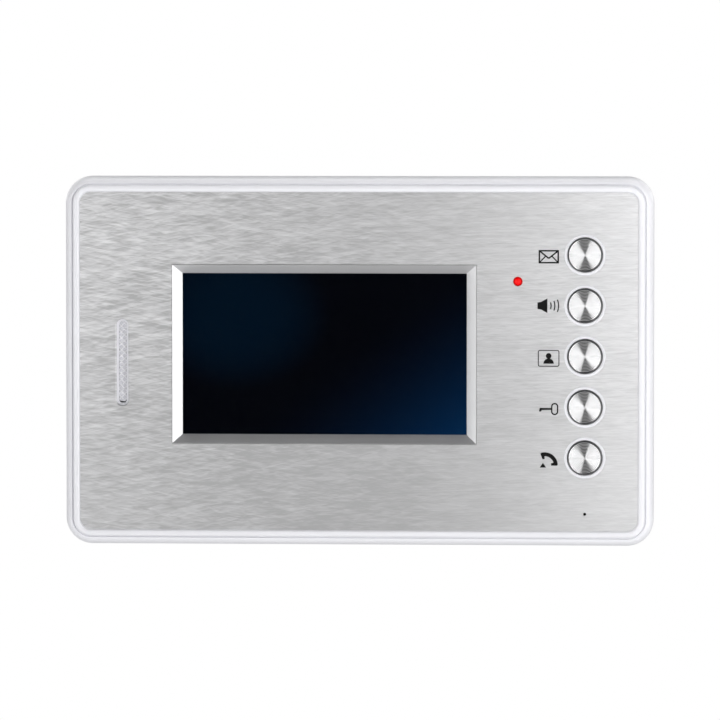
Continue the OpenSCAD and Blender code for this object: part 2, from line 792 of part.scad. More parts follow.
module key_actuator(i) color("black") stand_up() at(key_x, key_height(i))
    disc(actuator_dia / 2, switch_top - actuator_sunk, actuator_top);

module key_switch(i) color("dimgray") stand_up() at(key_x, key_height(i)) difference() {
    block(switch_w, switch_w, keyboard_face, switch_top);
    disc(actuator_dia / 2 + 0.1, switch_top - actuator_sunk - key_travel - 0.3, switch_top + 1);
}

module key_board() color("green") stand_up() difference() {
    at(keyboard_x, keyboard_z, keyboard_back)
        linear_extrude(board_t) rounded_rect(keyboard_w, keyboard_h, 1.5);
    place_all(keyboard_posts) disc(screw_r + 0.3, 0, body_d);
    for (x = [-1, 1]) at(lamp_x + x * 1.27, lamp_z) disc(0.45, 0, body_d);
}

module indicator_lamp() color("red") stand_up() at(lamp_x, lamp_z) {
    foot = lamp_top - lamp_length;
    rotate_extrude() polygon(concat(
        [[0, foot], [lamp_r + 0.35, foot], [lamp_r + 0.35, foot + 1], [lamp_r, foot + 1]],
        shifted(arc(lamp_r, 0, 90, 6), [0, lamp_top - lamp_r])
    ));
    for (x = [-1, 1]) at(x * 1.27, 0) block(0.5, 0.5, keyboard_back - 0.8, foot + 0.1);
}

// Microphone

module microphone() color("silver") stand_up() at(key_x, mic_z)
    disc(mic_dia / 2, boot_back, boot_back + mic_h);

module microphone_boot() color("black") stand_up() at(key_x, mic_z) difference() {
    disc(boot_r, boot_back + 0.4, panel_back);
    disc(mic_dia / 2 + 0.05, 0, boot_back + mic_h);
    disc(mic_hole / 2 + 0.3, 0, body_d);
}

module microphone_leads() color("firebrick") stand_up() {
    board_end = keyboard_z - keyboard_h / 2 + 2.2;
    for (x = [-1, 1]) translate([key_x + x * 1.27, 0, 0]) wire([
        [0, mic_z, boot_back], [0, mic_z, keyboard_face - 0.2],
        [0, board_end, keyboard_face + 3], [0, board_end, keyboard_face]
    ], 0.45, [1, 0, 0]);
}

// Loudspeaker

module speaker_mesh() color("lightgray") stand_up() at(slot_x, slot_z) {
    pitch = 1;
    rows = floor((slot_l - slot_w / 2) / pitch);
    translate([0, 0, mesh_face - mesh_t]) linear_extrude(mesh_t) difference() {
        rotate(90) slot_2d(mesh_l, mesh_w);
        for (i = [0:rows - 1], j = [-1:1])
            translate([j * pitch * 0.9, (i - (rows - 1) / 2 + (j == 0 ? 0.5 : 0)) * pitch])
                circle(0.36, $fn = 4);
    }
}

module speaker_gasket() color("dimgray") stand_up() at(speaker_x, slot_z) difference() {
    disc(speaker_r, speaker_face, panel_back);
    disc(speaker_r - 2, 0, body_d);
}

module speaker_frame() color("silver") stand_up() at(speaker_x, slot_z) {
    inner = speaker_r - 2.3;
    seat = speaker_back + 1.6;
    rotate_extrude() polygon([
        [speaker_r, speaker_face], [speaker_r, speaker_face - speaker_rim],
        [inner + 0.8, speaker_face - speaker_rim], [magnet_r + 1.2, seat], [magnet_r + 0.1, seat],
        [magnet_r + 0.1, seat + 0.8], [magnet_r + 0.8, seat + 0.8],
        [inner, speaker_face - speaker_rim], [inner, speaker_face]
    ]);
    translate([speaker_r - tab_in, 0, 0])
        block(2.2, 7, tab_back, speaker_face - speaker_rim + 0.1);
}

module speaker_cone() color("black") stand_up() at(speaker_x, slot_z) {
    rim = speaker_r - 2.4;
    t = 0.3;
    top = speaker_face - 0.1;
    rotate_extrude() polygon([
        [rim, top], [rim, top - t], [rim - 1.4, top - t - 0.5], [4, top - t - 2], [0, top - t - 1.3],
        [0, top - 1.3], [4, top - 2], [rim - 1.4, top - 0.5]
    ]);
}

module speaker_magnet() color("gray") stand_up() at(speaker_x, slot_z) {
    disc(magnet_r, speaker_back, speaker_back + 2.4);
    disc(magnet_r - 3, speaker_back + 2.3, speaker_back + 2.8);
}

module speaker_strip() color("silver") stand_up() difference() {
    at(speaker_x, slot_z)
        block(8, 2 * (strip_reach + post_r), speaker_back - strip_t, speaker_back);
    place_all(strip_posts) disc(screw_r + 0.2, 0, body_d);
}

module speaker_leads() color("firebrick") stand_up() {
    start_x = speaker_x + speaker_r - tab_in;
    end_x = main_x - main_w / 2 + 3;
    for (y = [-1, 1]) {
        z = slot_z + y * 2;
        wire([
            [start_x, z, tab_back], [start_x, z, main_face + 0.4],
            [end_x, z - 3, main_face + 2.4], [end_x, z - 3, main_face]
        ], 0.45, [0, 1, 0]);
    }
}

// Main board

module main_board() color("darkgreen") stand_up() difference() {
    at(main_x, main_z, main_back) linear_extrude(board_t) rounded_rect(main_w, main_h, 1.5);
    place_all(main_posts) disc(screw_r + 0.3, 0, body_d);
}

// Each chip is [x, z, width, height, thickness] from the board's middle.
chips = [
    [-24, 16, 16, 16, 1.4], [4, 18, 10, 10, 1.2], [24, 20, 8, 10, 1.5], [-30, -6, 9, 6, 1.6],
    [28, 2, 6, 5, 1.5], [40, -9, 6, 8, 1.5]
];

module board_chips() color("black") stand_up() at(main_x, main_z)
    for (c = chips) at(c[0], c[1]) block(c[2], c[3], main_face, main_face + c[4]);

low_row = -29;

module board_capacitors() color("silver") stand_up() at(main_x, main_z)
    for (x = [-28, -20, -12]) at(x, low_row) {
        block(6.6, 6.6, main_face, main_face + 0.6);
        disc(3.15, main_face + 0.5, main_face + 5.8);
    }

module board_coils() color("dimgray") stand_up() at(main_x, main_z)
    for (x = [3, 14]) at(x, low_row) block(8, 8, main_face, main_face + 4);

module board_crystal() color("silver") stand_up() at(main_x + 26, main_z + low_row, main_face)
    linear_extrude(3.5) slot_2d(11, 4.6);

terminal_x = (terminal_w + terminal_gap) / 2;
terminal_wall = 0.8;

module terminal_sockets() color("ivory") stand_up() for (x = [-1, 1])
    at(x * terminal_x, terminal_z) difference() {
        block(terminal_w, terminal_h, main_back - terminal_l, main_back);
        block(terminal_w - 2 * terminal_wall, terminal_h - 2 * terminal_wall,
            main_back - terminal_l - 1, main_back - 1.5);
    }

module terminal_pins() color("gold") stand_up() for (x = [-1, 1], i = [0:3])
    at(x * terminal_x + (i - 1.5) * 2.5, terminal_z)
        block(0.64, 0.64, main_back - terminal_l + 1.5, main_back - 1.5);

ribbon_from = main_x + main_w / 2 - 3.5;
ribbon_to = keyboard_x - keyboard_w / 2 + 3.5;

module ribbon_sockets() color("tan") stand_up() {
    at(ribbon_from, ribbon_z) block(socket_l, ribbon_w + 3, main_face, main_face + socket_h);
    at(ribbon_to, ribbon_z) block(socket_l, ribbon_w + 3, keyboard_face, keyboard_face + socket_h);
}

module ribbon_cable() color("lightgray") stand_up() at(0, ribbon_z) {
    a = [ribbon_from + socket_l / 2, main_face + socket_h / 2];
    b = [ribbon_to - socket_l / 2, keyboard_face + socket_h / 2];
    t = 0.4;
    steps = 10;
    path = [for (i = [0:steps]) let (u = i / steps, ease = u * u * (3 - 2 * u))
        [a[0] + (b[0] - a[0]) * u, a[1] + (b[1] - a[1]) * ease]];
    rotate([90, 0, 0]) linear_extrude(ribbon_w, center = true) polygon(concat(
        [for (p = path) p + [0, t / 2]], [for (i = [steps:-1:0]) path[i] - [0, t / 2]]
    ));
}

module board_screws() color("gray") stand_up() {
    place_all(main_posts) translate([0, 0, main_face]) mirror([0, 0, 1])
        pan_screw(0, screw_r, main_face - recess_d - 1, head_r, head_h);
    place_all(keyboard_posts) pan_screw(keyboard_back, screw_r, 6, head_r, head_h);
}

module casing_screws() color("gray") stand_up()
    place_all(case_posts) pan_screw(well_floor, case_screw_r, case_screw_l, case_head_r, case_head_h);

wall_bracket();
rear_casing();
front_casing();
front_plate();
key_symbols();
screen_bezel();
screen_window();
window_gasket();
display_frame();
display_glass();
display_backlight();
display_tail();
tail_socket();
display_clamps();
clamp_screws();
key_board();
indicator_lamp();
microphone();
microphone_boot();
microphone_leads();
speaker_mesh();
speaker_gasket();
speaker_frame();
speaker_cone();
speaker_magnet();
speaker_strip();
speaker_leads();
main_board();
board_chips();
board_capacitors();
board_coils();
board_crystal();
terminal_sockets();
terminal_pins();
ribbon_cable();
ribbon_sockets();
board_screws();
casing_screws();
for (i = [0:len(KEYS) - 1]) {
    key_cap(i);
    key_plunger(i);
    key_actuator(i);
    key_switch(i);
}
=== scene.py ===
"""Video intercom monitor on its wall bracket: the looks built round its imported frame.

A solid is (points, faces). Its points are (x, z, depth) in millimetres, where depth is the distance out from
the wall. A shape is a rounded rectangle (x, z, w, h, r), given by its middle, its size and its corner radius.
"""

import json
import math

import bmesh
import bpy
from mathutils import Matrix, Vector


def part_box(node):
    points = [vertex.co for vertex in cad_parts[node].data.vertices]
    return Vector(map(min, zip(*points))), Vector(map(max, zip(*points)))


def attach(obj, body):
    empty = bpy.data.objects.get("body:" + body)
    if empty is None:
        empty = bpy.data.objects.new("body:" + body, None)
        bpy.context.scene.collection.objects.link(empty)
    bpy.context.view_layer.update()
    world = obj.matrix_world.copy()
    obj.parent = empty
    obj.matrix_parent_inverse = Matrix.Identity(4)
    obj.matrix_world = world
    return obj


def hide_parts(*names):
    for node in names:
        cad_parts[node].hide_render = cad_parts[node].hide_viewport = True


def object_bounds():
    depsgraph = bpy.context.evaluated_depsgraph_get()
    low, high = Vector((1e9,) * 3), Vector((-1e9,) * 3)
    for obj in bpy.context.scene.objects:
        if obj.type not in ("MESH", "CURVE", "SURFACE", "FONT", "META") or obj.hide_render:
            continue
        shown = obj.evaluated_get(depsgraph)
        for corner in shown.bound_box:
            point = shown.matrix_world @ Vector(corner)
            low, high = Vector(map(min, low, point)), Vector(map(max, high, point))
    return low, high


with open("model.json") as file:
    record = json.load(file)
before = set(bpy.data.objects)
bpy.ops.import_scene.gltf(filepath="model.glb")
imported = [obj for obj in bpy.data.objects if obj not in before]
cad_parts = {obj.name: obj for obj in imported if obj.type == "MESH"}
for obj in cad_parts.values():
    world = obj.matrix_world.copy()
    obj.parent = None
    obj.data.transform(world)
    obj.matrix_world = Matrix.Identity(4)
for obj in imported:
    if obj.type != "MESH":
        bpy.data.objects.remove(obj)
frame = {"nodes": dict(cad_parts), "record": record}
cad_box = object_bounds()

MM = 0.001
TURN = 2 * math.pi
ARC_STEPS = 14
SMALL_ARC_STEPS = 2
SMALL_R = 0.5
SAME_PLACE = 1e-6  # millimetres
SAME_VERTEX = 1e-7  # metres
KEYS = ["message", "volume", "view", "unlock", "talk"]


# ---------------------------------------------------------------- sizes

class Box:
    """A CAD node's box at rest, in millimetres."""

    def __init__(self, node):
        low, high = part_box(node)
        self.left, self.right = low.x / MM, high.x / MM
        self.bottom, self.top = low.z / MM, high.z / MM
        self.back, self.face = -high.y / MM, -low.y / MM
        self.x, self.z = (self.left + self.right) / 2, (self.bottom + self.top) / 2
        self.w, self.h = self.right - self.left, self.top - self.bottom


front = Box("front_casing")
plate = Box("front_plate")
bezel = Box("screen_bezel")
window = Box("screen_window")
lamp = Box("indicator_lamp")
mesh = Box("speaker_mesh")
bracket = Box("wall_bracket")
microphone = Box("microphone")
display = Box("display_frame")
speaker = Box("speaker_gasket")
strip = Box("speaker_strip")
main_board = Box("main_board")
key_board = Box("key_board")
caps = {key: Box(key + "_cap") for key in KEYS}
plungers = {key: Box(key + "_plunger") for key in KEYS}

CORNER_R = 9
PLATE_R = 3.7
WALL_T = 2
FLOOR_T = 1.8
PARTING = 11.5
SHOULDER_W = 2.5
SHOULDER_D = 6
SHOULDER_TOP = front.face - 1.5
GROOVE_D = 0.5
GROOVE_IN = 3
RING_IN = 5.2
RING_ROUND = 0.9
RIM_IN = 8.5
PANEL_T = 2
PANEL_BACK = plate.back - PANEL_T
ROOT = 0.5
EDGE = 0.2
DISPLAY_FIT = 0.6

BEZEL_FLANGE = 1.4
BEZEL_SIDE = 3.35
BEZEL_TOP = 3
BEZEL_GAP = 0.1
BEZEL_LIP = 0.15

KEY_R = 5.7
KEY_HOLE_R = 5.9
COLLAR_R = 6.9
COLLAR_PROUD = 0.1
COLLAR_ROUND = 0.3
KEY_BEVEL = 0.3
FOOT_R = 2
PLATE_GAP = 0.1

LAMP_R = 1.45
LAMP_RIM = 0.3
LAMP_H = 5.3
LAMP_HOLE_R = 1.6
LEG_W = 0.5
LEG_R = 0.3
LEG_X = 1.27
SOUND_HOLE_R = 0.5
SOUND_CHANNEL_R = 0.8
MICROPHONE_SEAT_R = 4.1
MICROPHONE_SEAT_D = 2.4
SPEAKER_SEAT_GAP = 0.2
SPEAKER_SEAT_D = 0.8
SEAT_T = 1

SLOT_W = 4
SLOT_L = 29
SLOT_SLOPE = 0.7
SLOT_BEVEL = 0.35
MESH_END = 1.3
MESH_TOP = 0.6
MESH_BORDER = 0.3
CLOTH_T = 0.15
SURROUND_T = 1.6
PANEL_MARGIN = 1.2

POST_R = 3.2
PILOT_R = 1.15
CASING_POST_R = 3.6
CASING_PILOT_R = 1.35
PILOT_FLOOR = 0.9
RIB_T = 1.5
CLAMP_X = 35
KEY_BOARD_SCREW_IN = 23.5
KEY_BOARD_SCREW_Z = 40
STRIP_SCREW_Z = 19.5
MAIN_BOARD_SCREW_X = 46
MAIN_BOARD_SCREW_Z = 32

REAR_STEP = 0.6
REAR_BEND_R = 3.5
REAR_INNER_R = 1.8
REAR_BACK = 0.5
REAR_FACE = 2.3
WELL_ROOT = 0.7
LIP_IN = 2.1
LIP_H = 1.5
RECESS_D = 4.2
RECESS_W = 129
RECESS_H = 95
RECESS_DROP = 4
BAY_W = 33.8
BAY_H = 11.8
WELL_R = 3.3
WELL_T = 1.6
WELL_HOLE_R = 1.6
WELL_FLOOR = 4.5
SCREW_X = 88
SCREW_Z = 52
VENT_ROWS = 11
VENT_PITCH = 4
VENT_L = 16
VENT_W = 1.8
VENT_X = 78.4

HEAD_R = 2.8
HEAD_H = 2.2
SHANK_R = 1.3
SHANK_L = 10

BRACKET_T = 1.2
BRACKET_R = 4
WIRE_W = 44
WIRE_H = 30
WALL_SCREW_X = 32
WALL_SCREW_Z = 33
WALL_SCREW_R = 2.25
BOX_SLOT_X = 30
BOX_SLOT_L = 8
BOX_SLOT_W = 4.2
HOOK_W = 8
HOOK_X = 48
HOOK_Z = 23
HOOK_RISE = 7
HOOK_SLOT_W = 9.5
HOOK_SLOT_H = 9.8


# ---------------------------------------------------------------- nodes

class Value:
    """A node's output that takes part in plain Python sums."""

    def __init__(self, nodes, socket):
        self.nodes = nodes
        self.socket = socket

    def maths(self, operation, *numbers):
        return self.nodes.node("ShaderNodeMath", {"operation": operation}, dict(enumerate(numbers)))

    def __add__(self, other):
        return self.maths("ADD", self, other)

    def __sub__(self, other):
        return self.maths("SUBTRACT", self, other)

    def __rsub__(self, other):
        return self.maths("SUBTRACT", other, self)

    def __mul__(self, other):
        return self.maths("MULTIPLY", self, other)

    def __truediv__(self, other):
        return self.maths("DIVIDE", self, other)

    def __pow__(self, other):
        return self.maths("POWER", self, other)

    __radd__ = __add__
    __rmul__ = __mul__

    def sine(self):
        return self.maths("SINE", self)

    def cosine(self):
        return self.maths("COSINE", self)

    def size(self):
        return self.maths("ABSOLUTE", self)

    def above(self, other):
        return self.maths("GREATER_THAN", self, other)

    def ramp(self, low, high, to_low=0, to_high=1, smooth=True):
        """Runs from to_low to to_high while this value runs from low to high."""
        return self.nodes.node(
            "ShaderNodeMapRange",
            {"interpolation_type": "SMOOTHSTEP" if smooth else "LINEAR"},
            {0: self, 1: low, 2: high, 3: to_low, 4: to_high},
        )


class Nodes:
    """A node tree under construction."""

    def __init__(self, tree):
        self.tree = tree

    def node(self, kind, settings=None, sockets=None, output=0):
        """Adds a node: first its settings, then the values or links of its sockets. Gives one output."""
        made = self.tree.nodes.new(kind)
        for name, value in (settings or {}).items():
            setattr(made, name, value)
        for key, value in (sockets or {}).items():
            self.put(made.inputs[key], value)
        return Value(self, made.outputs[output]) if made.outputs else made

    def put(self, socket, value):
        if isinstance(value, Value):
            self.tree.links.new(value.socket, socket)
        else:
            socket.default_value = value

    def vector(self, x, y, z):
        return self.node("ShaderNodeCombineXYZ", {}, {0: x, 1: y, 2: z})

    def parts(self, vector):
        """The X, Y and Z of a vector."""
        split = self.node("ShaderNodeSeparateXYZ", {}, {0: vector})
        return [Value(self, socket) for socket in split.socket.node.outputs]


# ---------------------------------------------------------------- finishes

class Finish(Nodes):
    """A procedural material: one Principled shader, with patterns worked out from places on the piece."""

    def __init__(self, name, **constants):
        self.material = bpy.data.materials.new(name)
        self.material.use_nodes = True
        super().__init__(self.material.node_tree)
        self.tree.nodes.clear()
        self.shader = self.tree.nodes.new("ShaderNodeBsdfPrincipled")
        self.surface = self.tree.nodes.new("ShaderNodeOutputMaterial")
        self.put(self.surface.inputs["Surface"], Value(self, self.shader.outputs[0]))
        self.give(**constants)

    def give(self, **sockets):
        """Sets or links sockets of the shader. Their names are written with underscores."""
        for socket, value in sockets.items():
            self.put(self.shader.inputs[socket.replace("_", " ")], value)

    def place(self, w=1, d=1, h=1, turn=0, centre=(0, 0, 0)):
        """Places on the piece in steps of w x d x h mm, from a centre, and turned in the front's plane."""
        here = self.node("ShaderNodeTexCoord", {}, {}, output=3)
        return self.node("ShaderNodeMapping", {"vector_type": "TEXTURE"}, {
            "Vector": here,
            "Location": (centre[0] * MM, -centre[2] * MM, centre[1] * MM),
            "Rotation": (0, math.radians(turn), 0),
            "Scale": (w * MM, d * MM, h * MM),
        })

    def noise(self, w, d, h, turn=0, detail=3, rough=0.5, twist=0, centre=(0, 0, 0)):
        """Cloudy noise whose grains are w x d x h millimetres."""
        return self.node("ShaderNodeTexNoise", {}, {
            "Vector": self.place(w, d, h, turn, centre), "Scale": 1,
            "Detail": detail, "Roughness": rough, "Distortion": twist,
        })

    def mix(self, a, b, factor):
        """Colour a turning to colour b."""
        return self.node("ShaderNodeMix", {"data_type": "RGBA"}, {0: factor, 6: a, 7: b}, output=2)

    def colour(self, a, b, factor):
        self.give(Base_Color=self.mix(a, b, factor))

    def roughness(self, value):
        self.give(Roughness=value)

    def glow(self, a, b, factor):
        self.give(Emission_Color=self.mix(a, b, factor))

    def relief(self, height, depth, strength=1):
        """Bumps of a height from 0 to 1, depth millimetres high."""
        sizes = {"Strength": strength, "Distance": depth * MM, "Height": height}
        self.give(Normal=self.node("ShaderNodeBump", {}, sizes))


def shade(colour, by):
    """A colour made lighter or darker, with its alpha."""
    return tuple(min(1, c * by) for c in colour) + (1,)


def moulded(name, colour, roughness=0.4, grain=0.35, depth=0.006, spread=0.05, **constants):
    """Moulded plastic or rubber: cloudy shade, fine grain and a little unevenness in the gloss."""
    finish = Finish(name, **constants)
    clouds = finish.noise(18, 18, 18, detail=4)
    finish.colour(shade(colour, 1 - spread), shade(colour, 1 + spread), clouds)
    fine = finish.noise(grain, grain, grain, detail=2)
    finish.roughness(roughness + 0.12 * (clouds - 0.5) + 0.06 * (fine - 0.5))
    finish.relief(fine, depth)
    return finish.material


def rolled(name, colour, roughness=0.3, strokes=(9, 0.12, 0.12), depth=0.004, spread=0.08):
    """Sheet metal with fine rolling marks along it."""
    finish = Finish(name, Metallic=1)
    marks = finish.noise(*strokes, detail=4, rough=0.6)
    clouds = finish.noise(14, 14, 14, detail=3)
    finish.colour(shade(colour, 1 - spread), shade(colour, 1 + spread), 0.6 * marks + 0.4 * clouds)
    finish.roughness(roughness + 0.2 * (marks - 0.5) + 0.14 * (clouds - 0.5))
    finish.relief(marks, depth)
    return finish.material


def brushed_plate():
    """Aluminium with short, almost level strokes that cross each other.

    They are coarser to the left and fainter low down. Painted reflection makes the plate paler towards both
    sides and the top.
    """
    finish = Finish("brushed_plate", Metallic=0.8)
    rising = finish.noise(7.5, 9, 1.0, turn=-11, detail=3, twist=0.9)
    falling = finish.noise(7.5, 9, 1.0, turn=10, detail=3, twist=0.9, centre=(31, 17, 0))
    level = finish.noise(14, 9, 0.4, turn=-2, detail=3, twist=0.25)
    hair = finish.noise(6, 9, 0.11, detail=2)
    clouds = finish.noise(30, 30, 14, turn=-6, detail=2)
    across, _, up = finish.parts(finish.place(plate.w, 1, plate.h, centre=(plate.x, plate.z, 0)))
    crossing = (rising - 0.5) * 1.3 + (falling - 0.5) * 1.3
    fading = across.ramp(-0.35, 0.3, 1.35, 0.45)
    strokes = crossing * fading + (level - 0.5) * 0.8 + (hair - 0.5) * 0.35 + (clouds - 0.5) * 0.25
    strokes = strokes * up.ramp(-0.5, 0.2, 0.5, 0.92)
    # Painted reflection: the plate is made paler at both sides and towards the top, and this is mixed into
    # the strokes below.
    left = across.ramp(-0.5, -0.05, 0.2, 0)
    right = across.ramp(0.05, 0.3, 0, 0.16) + across.ramp(0.2, 0.5, 0, 0.26)
    height = up.ramp(-0.5, 0.5, -0.12, 0.08)
    strokes_and_painted_sheen = (strokes * 0.95 + 0.2 + left + right + height).ramp(0, 1, smooth=False)
    finish.colour((0.45, 0.45, 0.455, 1), (0.88, 0.88, 0.89, 1), strokes_and_painted_sheen)
    finish.roughness(0.44 + 0.12 * (0.5 - strokes_and_painted_sheen))
    finish.relief(0.6 * strokes + 0.5 * hair, 0.004, 0.6)
    return finish.material


def spun_cap():
    """Bright metal, a little cloudy. Its spun rings are in the mesh."""
    finish = Finish("spun_cap", Metallic=1)
    polish = finish.noise(0.5, 0.5, 0.5, detail=3)
    clouds = finish.noise(5, 5, 5, detail=2)
    finish.colour((0.5, 0.5, 0.505, 1), (0.62, 0.62, 0.625, 1), clouds)
    finish.roughness(0.16 + 0.08 * (polish - 0.5))
    finish.relief(polish, 0.0015)
    return finish.material


def silver_paint():
    """Fine silver paint with small flakes."""
    finish = Finish("silver_paint", Metallic=0.85, Coat_Weight=0.2, Coat_Roughness=0.2)
    flakes = finish.node("ShaderNodeTexVoronoi", {}, {"Vector": finish.place(0.12, 0.12, 0.12), "Scale": 1})
    clouds = finish.noise(12, 12, 12, detail=3)
    finish.colour((0.72, 0.72, 0.73, 1), (0.84, 0.84, 0.85, 1), 0.5 * flakes + 0.5 * clouds)
    finish.roughness(0.3 + 0.1 * (clouds - 0.5))
    finish.relief(flakes, 0.002, 0.5)
    return finish.material


def dark_picture():
    """A screen that is off: black, with a painted navy reflection that glows towards two opposite corners."""
    finish = Finish("dark_picture", Emission_Strength=1, Specular_IOR_Level=0.2)
    across, _, up = finish.parts(finish.place(window.w, 1, window.h, centre=(window.x, window.z, 0)))
    # Painted reflection: an emitted navy glow stands in for light reflected off the dark glass.
    upper_left_reflection = ((across + 0.30) ** 2 * 9 + (up - 0.22) ** 2 * 5).ramp(0, 1, 1, 0)
    lower_right_reflection = (across - up * 0.75).ramp(0, 0.84, smooth=False) ** 2.5
    grain = finish.noise(2, 2, 2, detail=2)
    navy = finish.mix((0.0003, 0.0006, 0.0018, 1), (0.0001, 0.0044, 0.0120, 1), upper_left_reflection)
    finish.glow(navy, (0.0010, 0.0200, 0.0680, 1), lower_right_reflection)
    finish.colour((0.0002, 0.0002, 0.0003, 1), (0.0004, 0.0005, 0.0008, 1), grain)
    finish.roughness(0.1 + 0.06 * grain)
    return finish.material


def clear_window():
    """Clear, slightly wavy glass."""
    finish = Finish("clear_window", Transmission_Weight=1, IOR=1.3)
    waves = finish.noise(25, 25, 25, detail=1)
    finish.colour((0.97, 0.985, 1, 1), (1, 1, 1, 1), waves)
    finish.roughness(0.01 + 0.02 * waves)
    return finish.material


def red_lamp():
    """Tinted resin that glows from inside."""
    finish = Finish(
        "red_lamp", Specular_IOR_Level=0.1, Coat_Weight=0.2, Coat_Roughness=0.02, Emission_Strength=0.6,
    )
    across, _, up = finish.parts(finish.place(1, 1, 1, centre=(lamp.x, lamp.z, 0)))
    off_axis = (across ** 2 + up ** 2) ** 0.5
    core = off_axis.ramp(0.2, 1.5, 1, 0)
    resin = finish.noise(0.6, 0.6, 0.6, detail=2)
    finish.colour((0.4, 0.001, 0.002, 1), (0.7, 0.004, 0.004, 1), core)
    finish.glow((0.45, 0, 0, 1), (1, 0.003, 0.002, 1), core)
    finish.roughness(0.12 + 0.06 * resin)
    return finish.material


def felt_faced_can():
    """A drawn can, with black felt on the end that faces the hole."""
    finish = Finish("microphone_can")
    _, behind, _ = finish.parts(finish.place(1, 1, 1, centre=(microphone.x, microphone.z, microphone.face)))
    felt = behind.ramp(0.02, 0.06, 1, 0)
    fibres = finish.noise(0.08, 0.08, 0.08, detail=3)
    finish.colour((0.72, 0.72, 0.73, 1), (0.006, 0.006, 0.006, 1), felt)
    finish.give(Metallic=1 - felt)
    finish.roughness(0.25 + 0.6 * felt + 0.1 * fibres)
    finish.relief(fibres * felt, 0.03)
    return finish.material


def woven_grey():
    """Pale threads, with painted shade that darkens them towards the cloth behind."""
    finish = Finish("woven_grey")
    out = finish.parts(finish.place(1, 1, 1))[1] * -1
    # Painted shade: the colour darkens with depth into the weave, and the cloth is darkest.
    raised = out.ramp(mesh.back + 0.15, mesh.face - 0.05, smooth=False)
    dust = finish.noise(0.5, 0.5, 0.5, detail=3)
    finish.colour((0.64, 0.64, 0.68, 1), (0.93, 0.93, 0.96, 1), raised * 0.85 + dust * 0.15)
    finish.roughness(0.4 + 0.1 * dust)
    finish.relief(dust, 0.01)
    return finish.material


def solder_mask():
    """A green board: copper tracks under the lacquer, and small tinned holes."""
    finish = Finish("solder_mask", Coat_Weight=0.3, Coat_Roughness=0.15)
    place = finish.place(1.27, 1.27, 1.27)
    upright = {"Vector": place, "Angle": TURN / 4}
    tracks = finish.node("ShaderNodeTexBrick", {}, {
        "Vector": finish.node("ShaderNodeVectorRotate", {"rotation_type": "X_AXIS"}, upright), "Scale": 1,
        "Mortar Size": 0.09, "Brick Width": 3.5, "Row Height": 0.6,
    }, output=1)
    holes = finish.node("ShaderNodeTexVoronoi", {}, {"Vector": place, "Scale": 0.4, "Randomness": 0.8})
    lacquer = finish.mix((0.012, 0.16, 0.055, 1), (0.02, 0.25, 0.10, 1), tracks)
    tinned = holes.ramp(0.13, 0.16, 1, 0)
    finish.colour(lacquer, (0.62, 0.60, 0.50, 1), tinned)
    finish.roughness(0.35 - 0.1 * tinned)
    finish.relief(tracks, 0.03)
    return finish.material


def ribbed_ribbon():
    """Grey flat cable, ribbed over its wires, with painted shade in the grooves between the ribs."""
    finish = Finish("ribbed_ribbon")
    wire_pitch = 1.27
    up = finish.parts(finish.place(1, 1, 1))[2]
    ribs = (up * (TURN / wire_pitch)).cosine()
    dust = finish.noise(3, 3, 3, detail=3)
    # Painted shade: the colour follows the ribs, darker in the grooves and paler on the crests.
    finish.colour((0.42, 0.42, 0.44, 1), (0.62, 0.62, 0.65, 1), 0.35 * ribs + 0.3 + 0.3 * dust)
    finish.roughness(0.45 + 0.15 * dust)
    finish.relief(0.5 * ribs + 0.5, 0.25)
    return finish.material


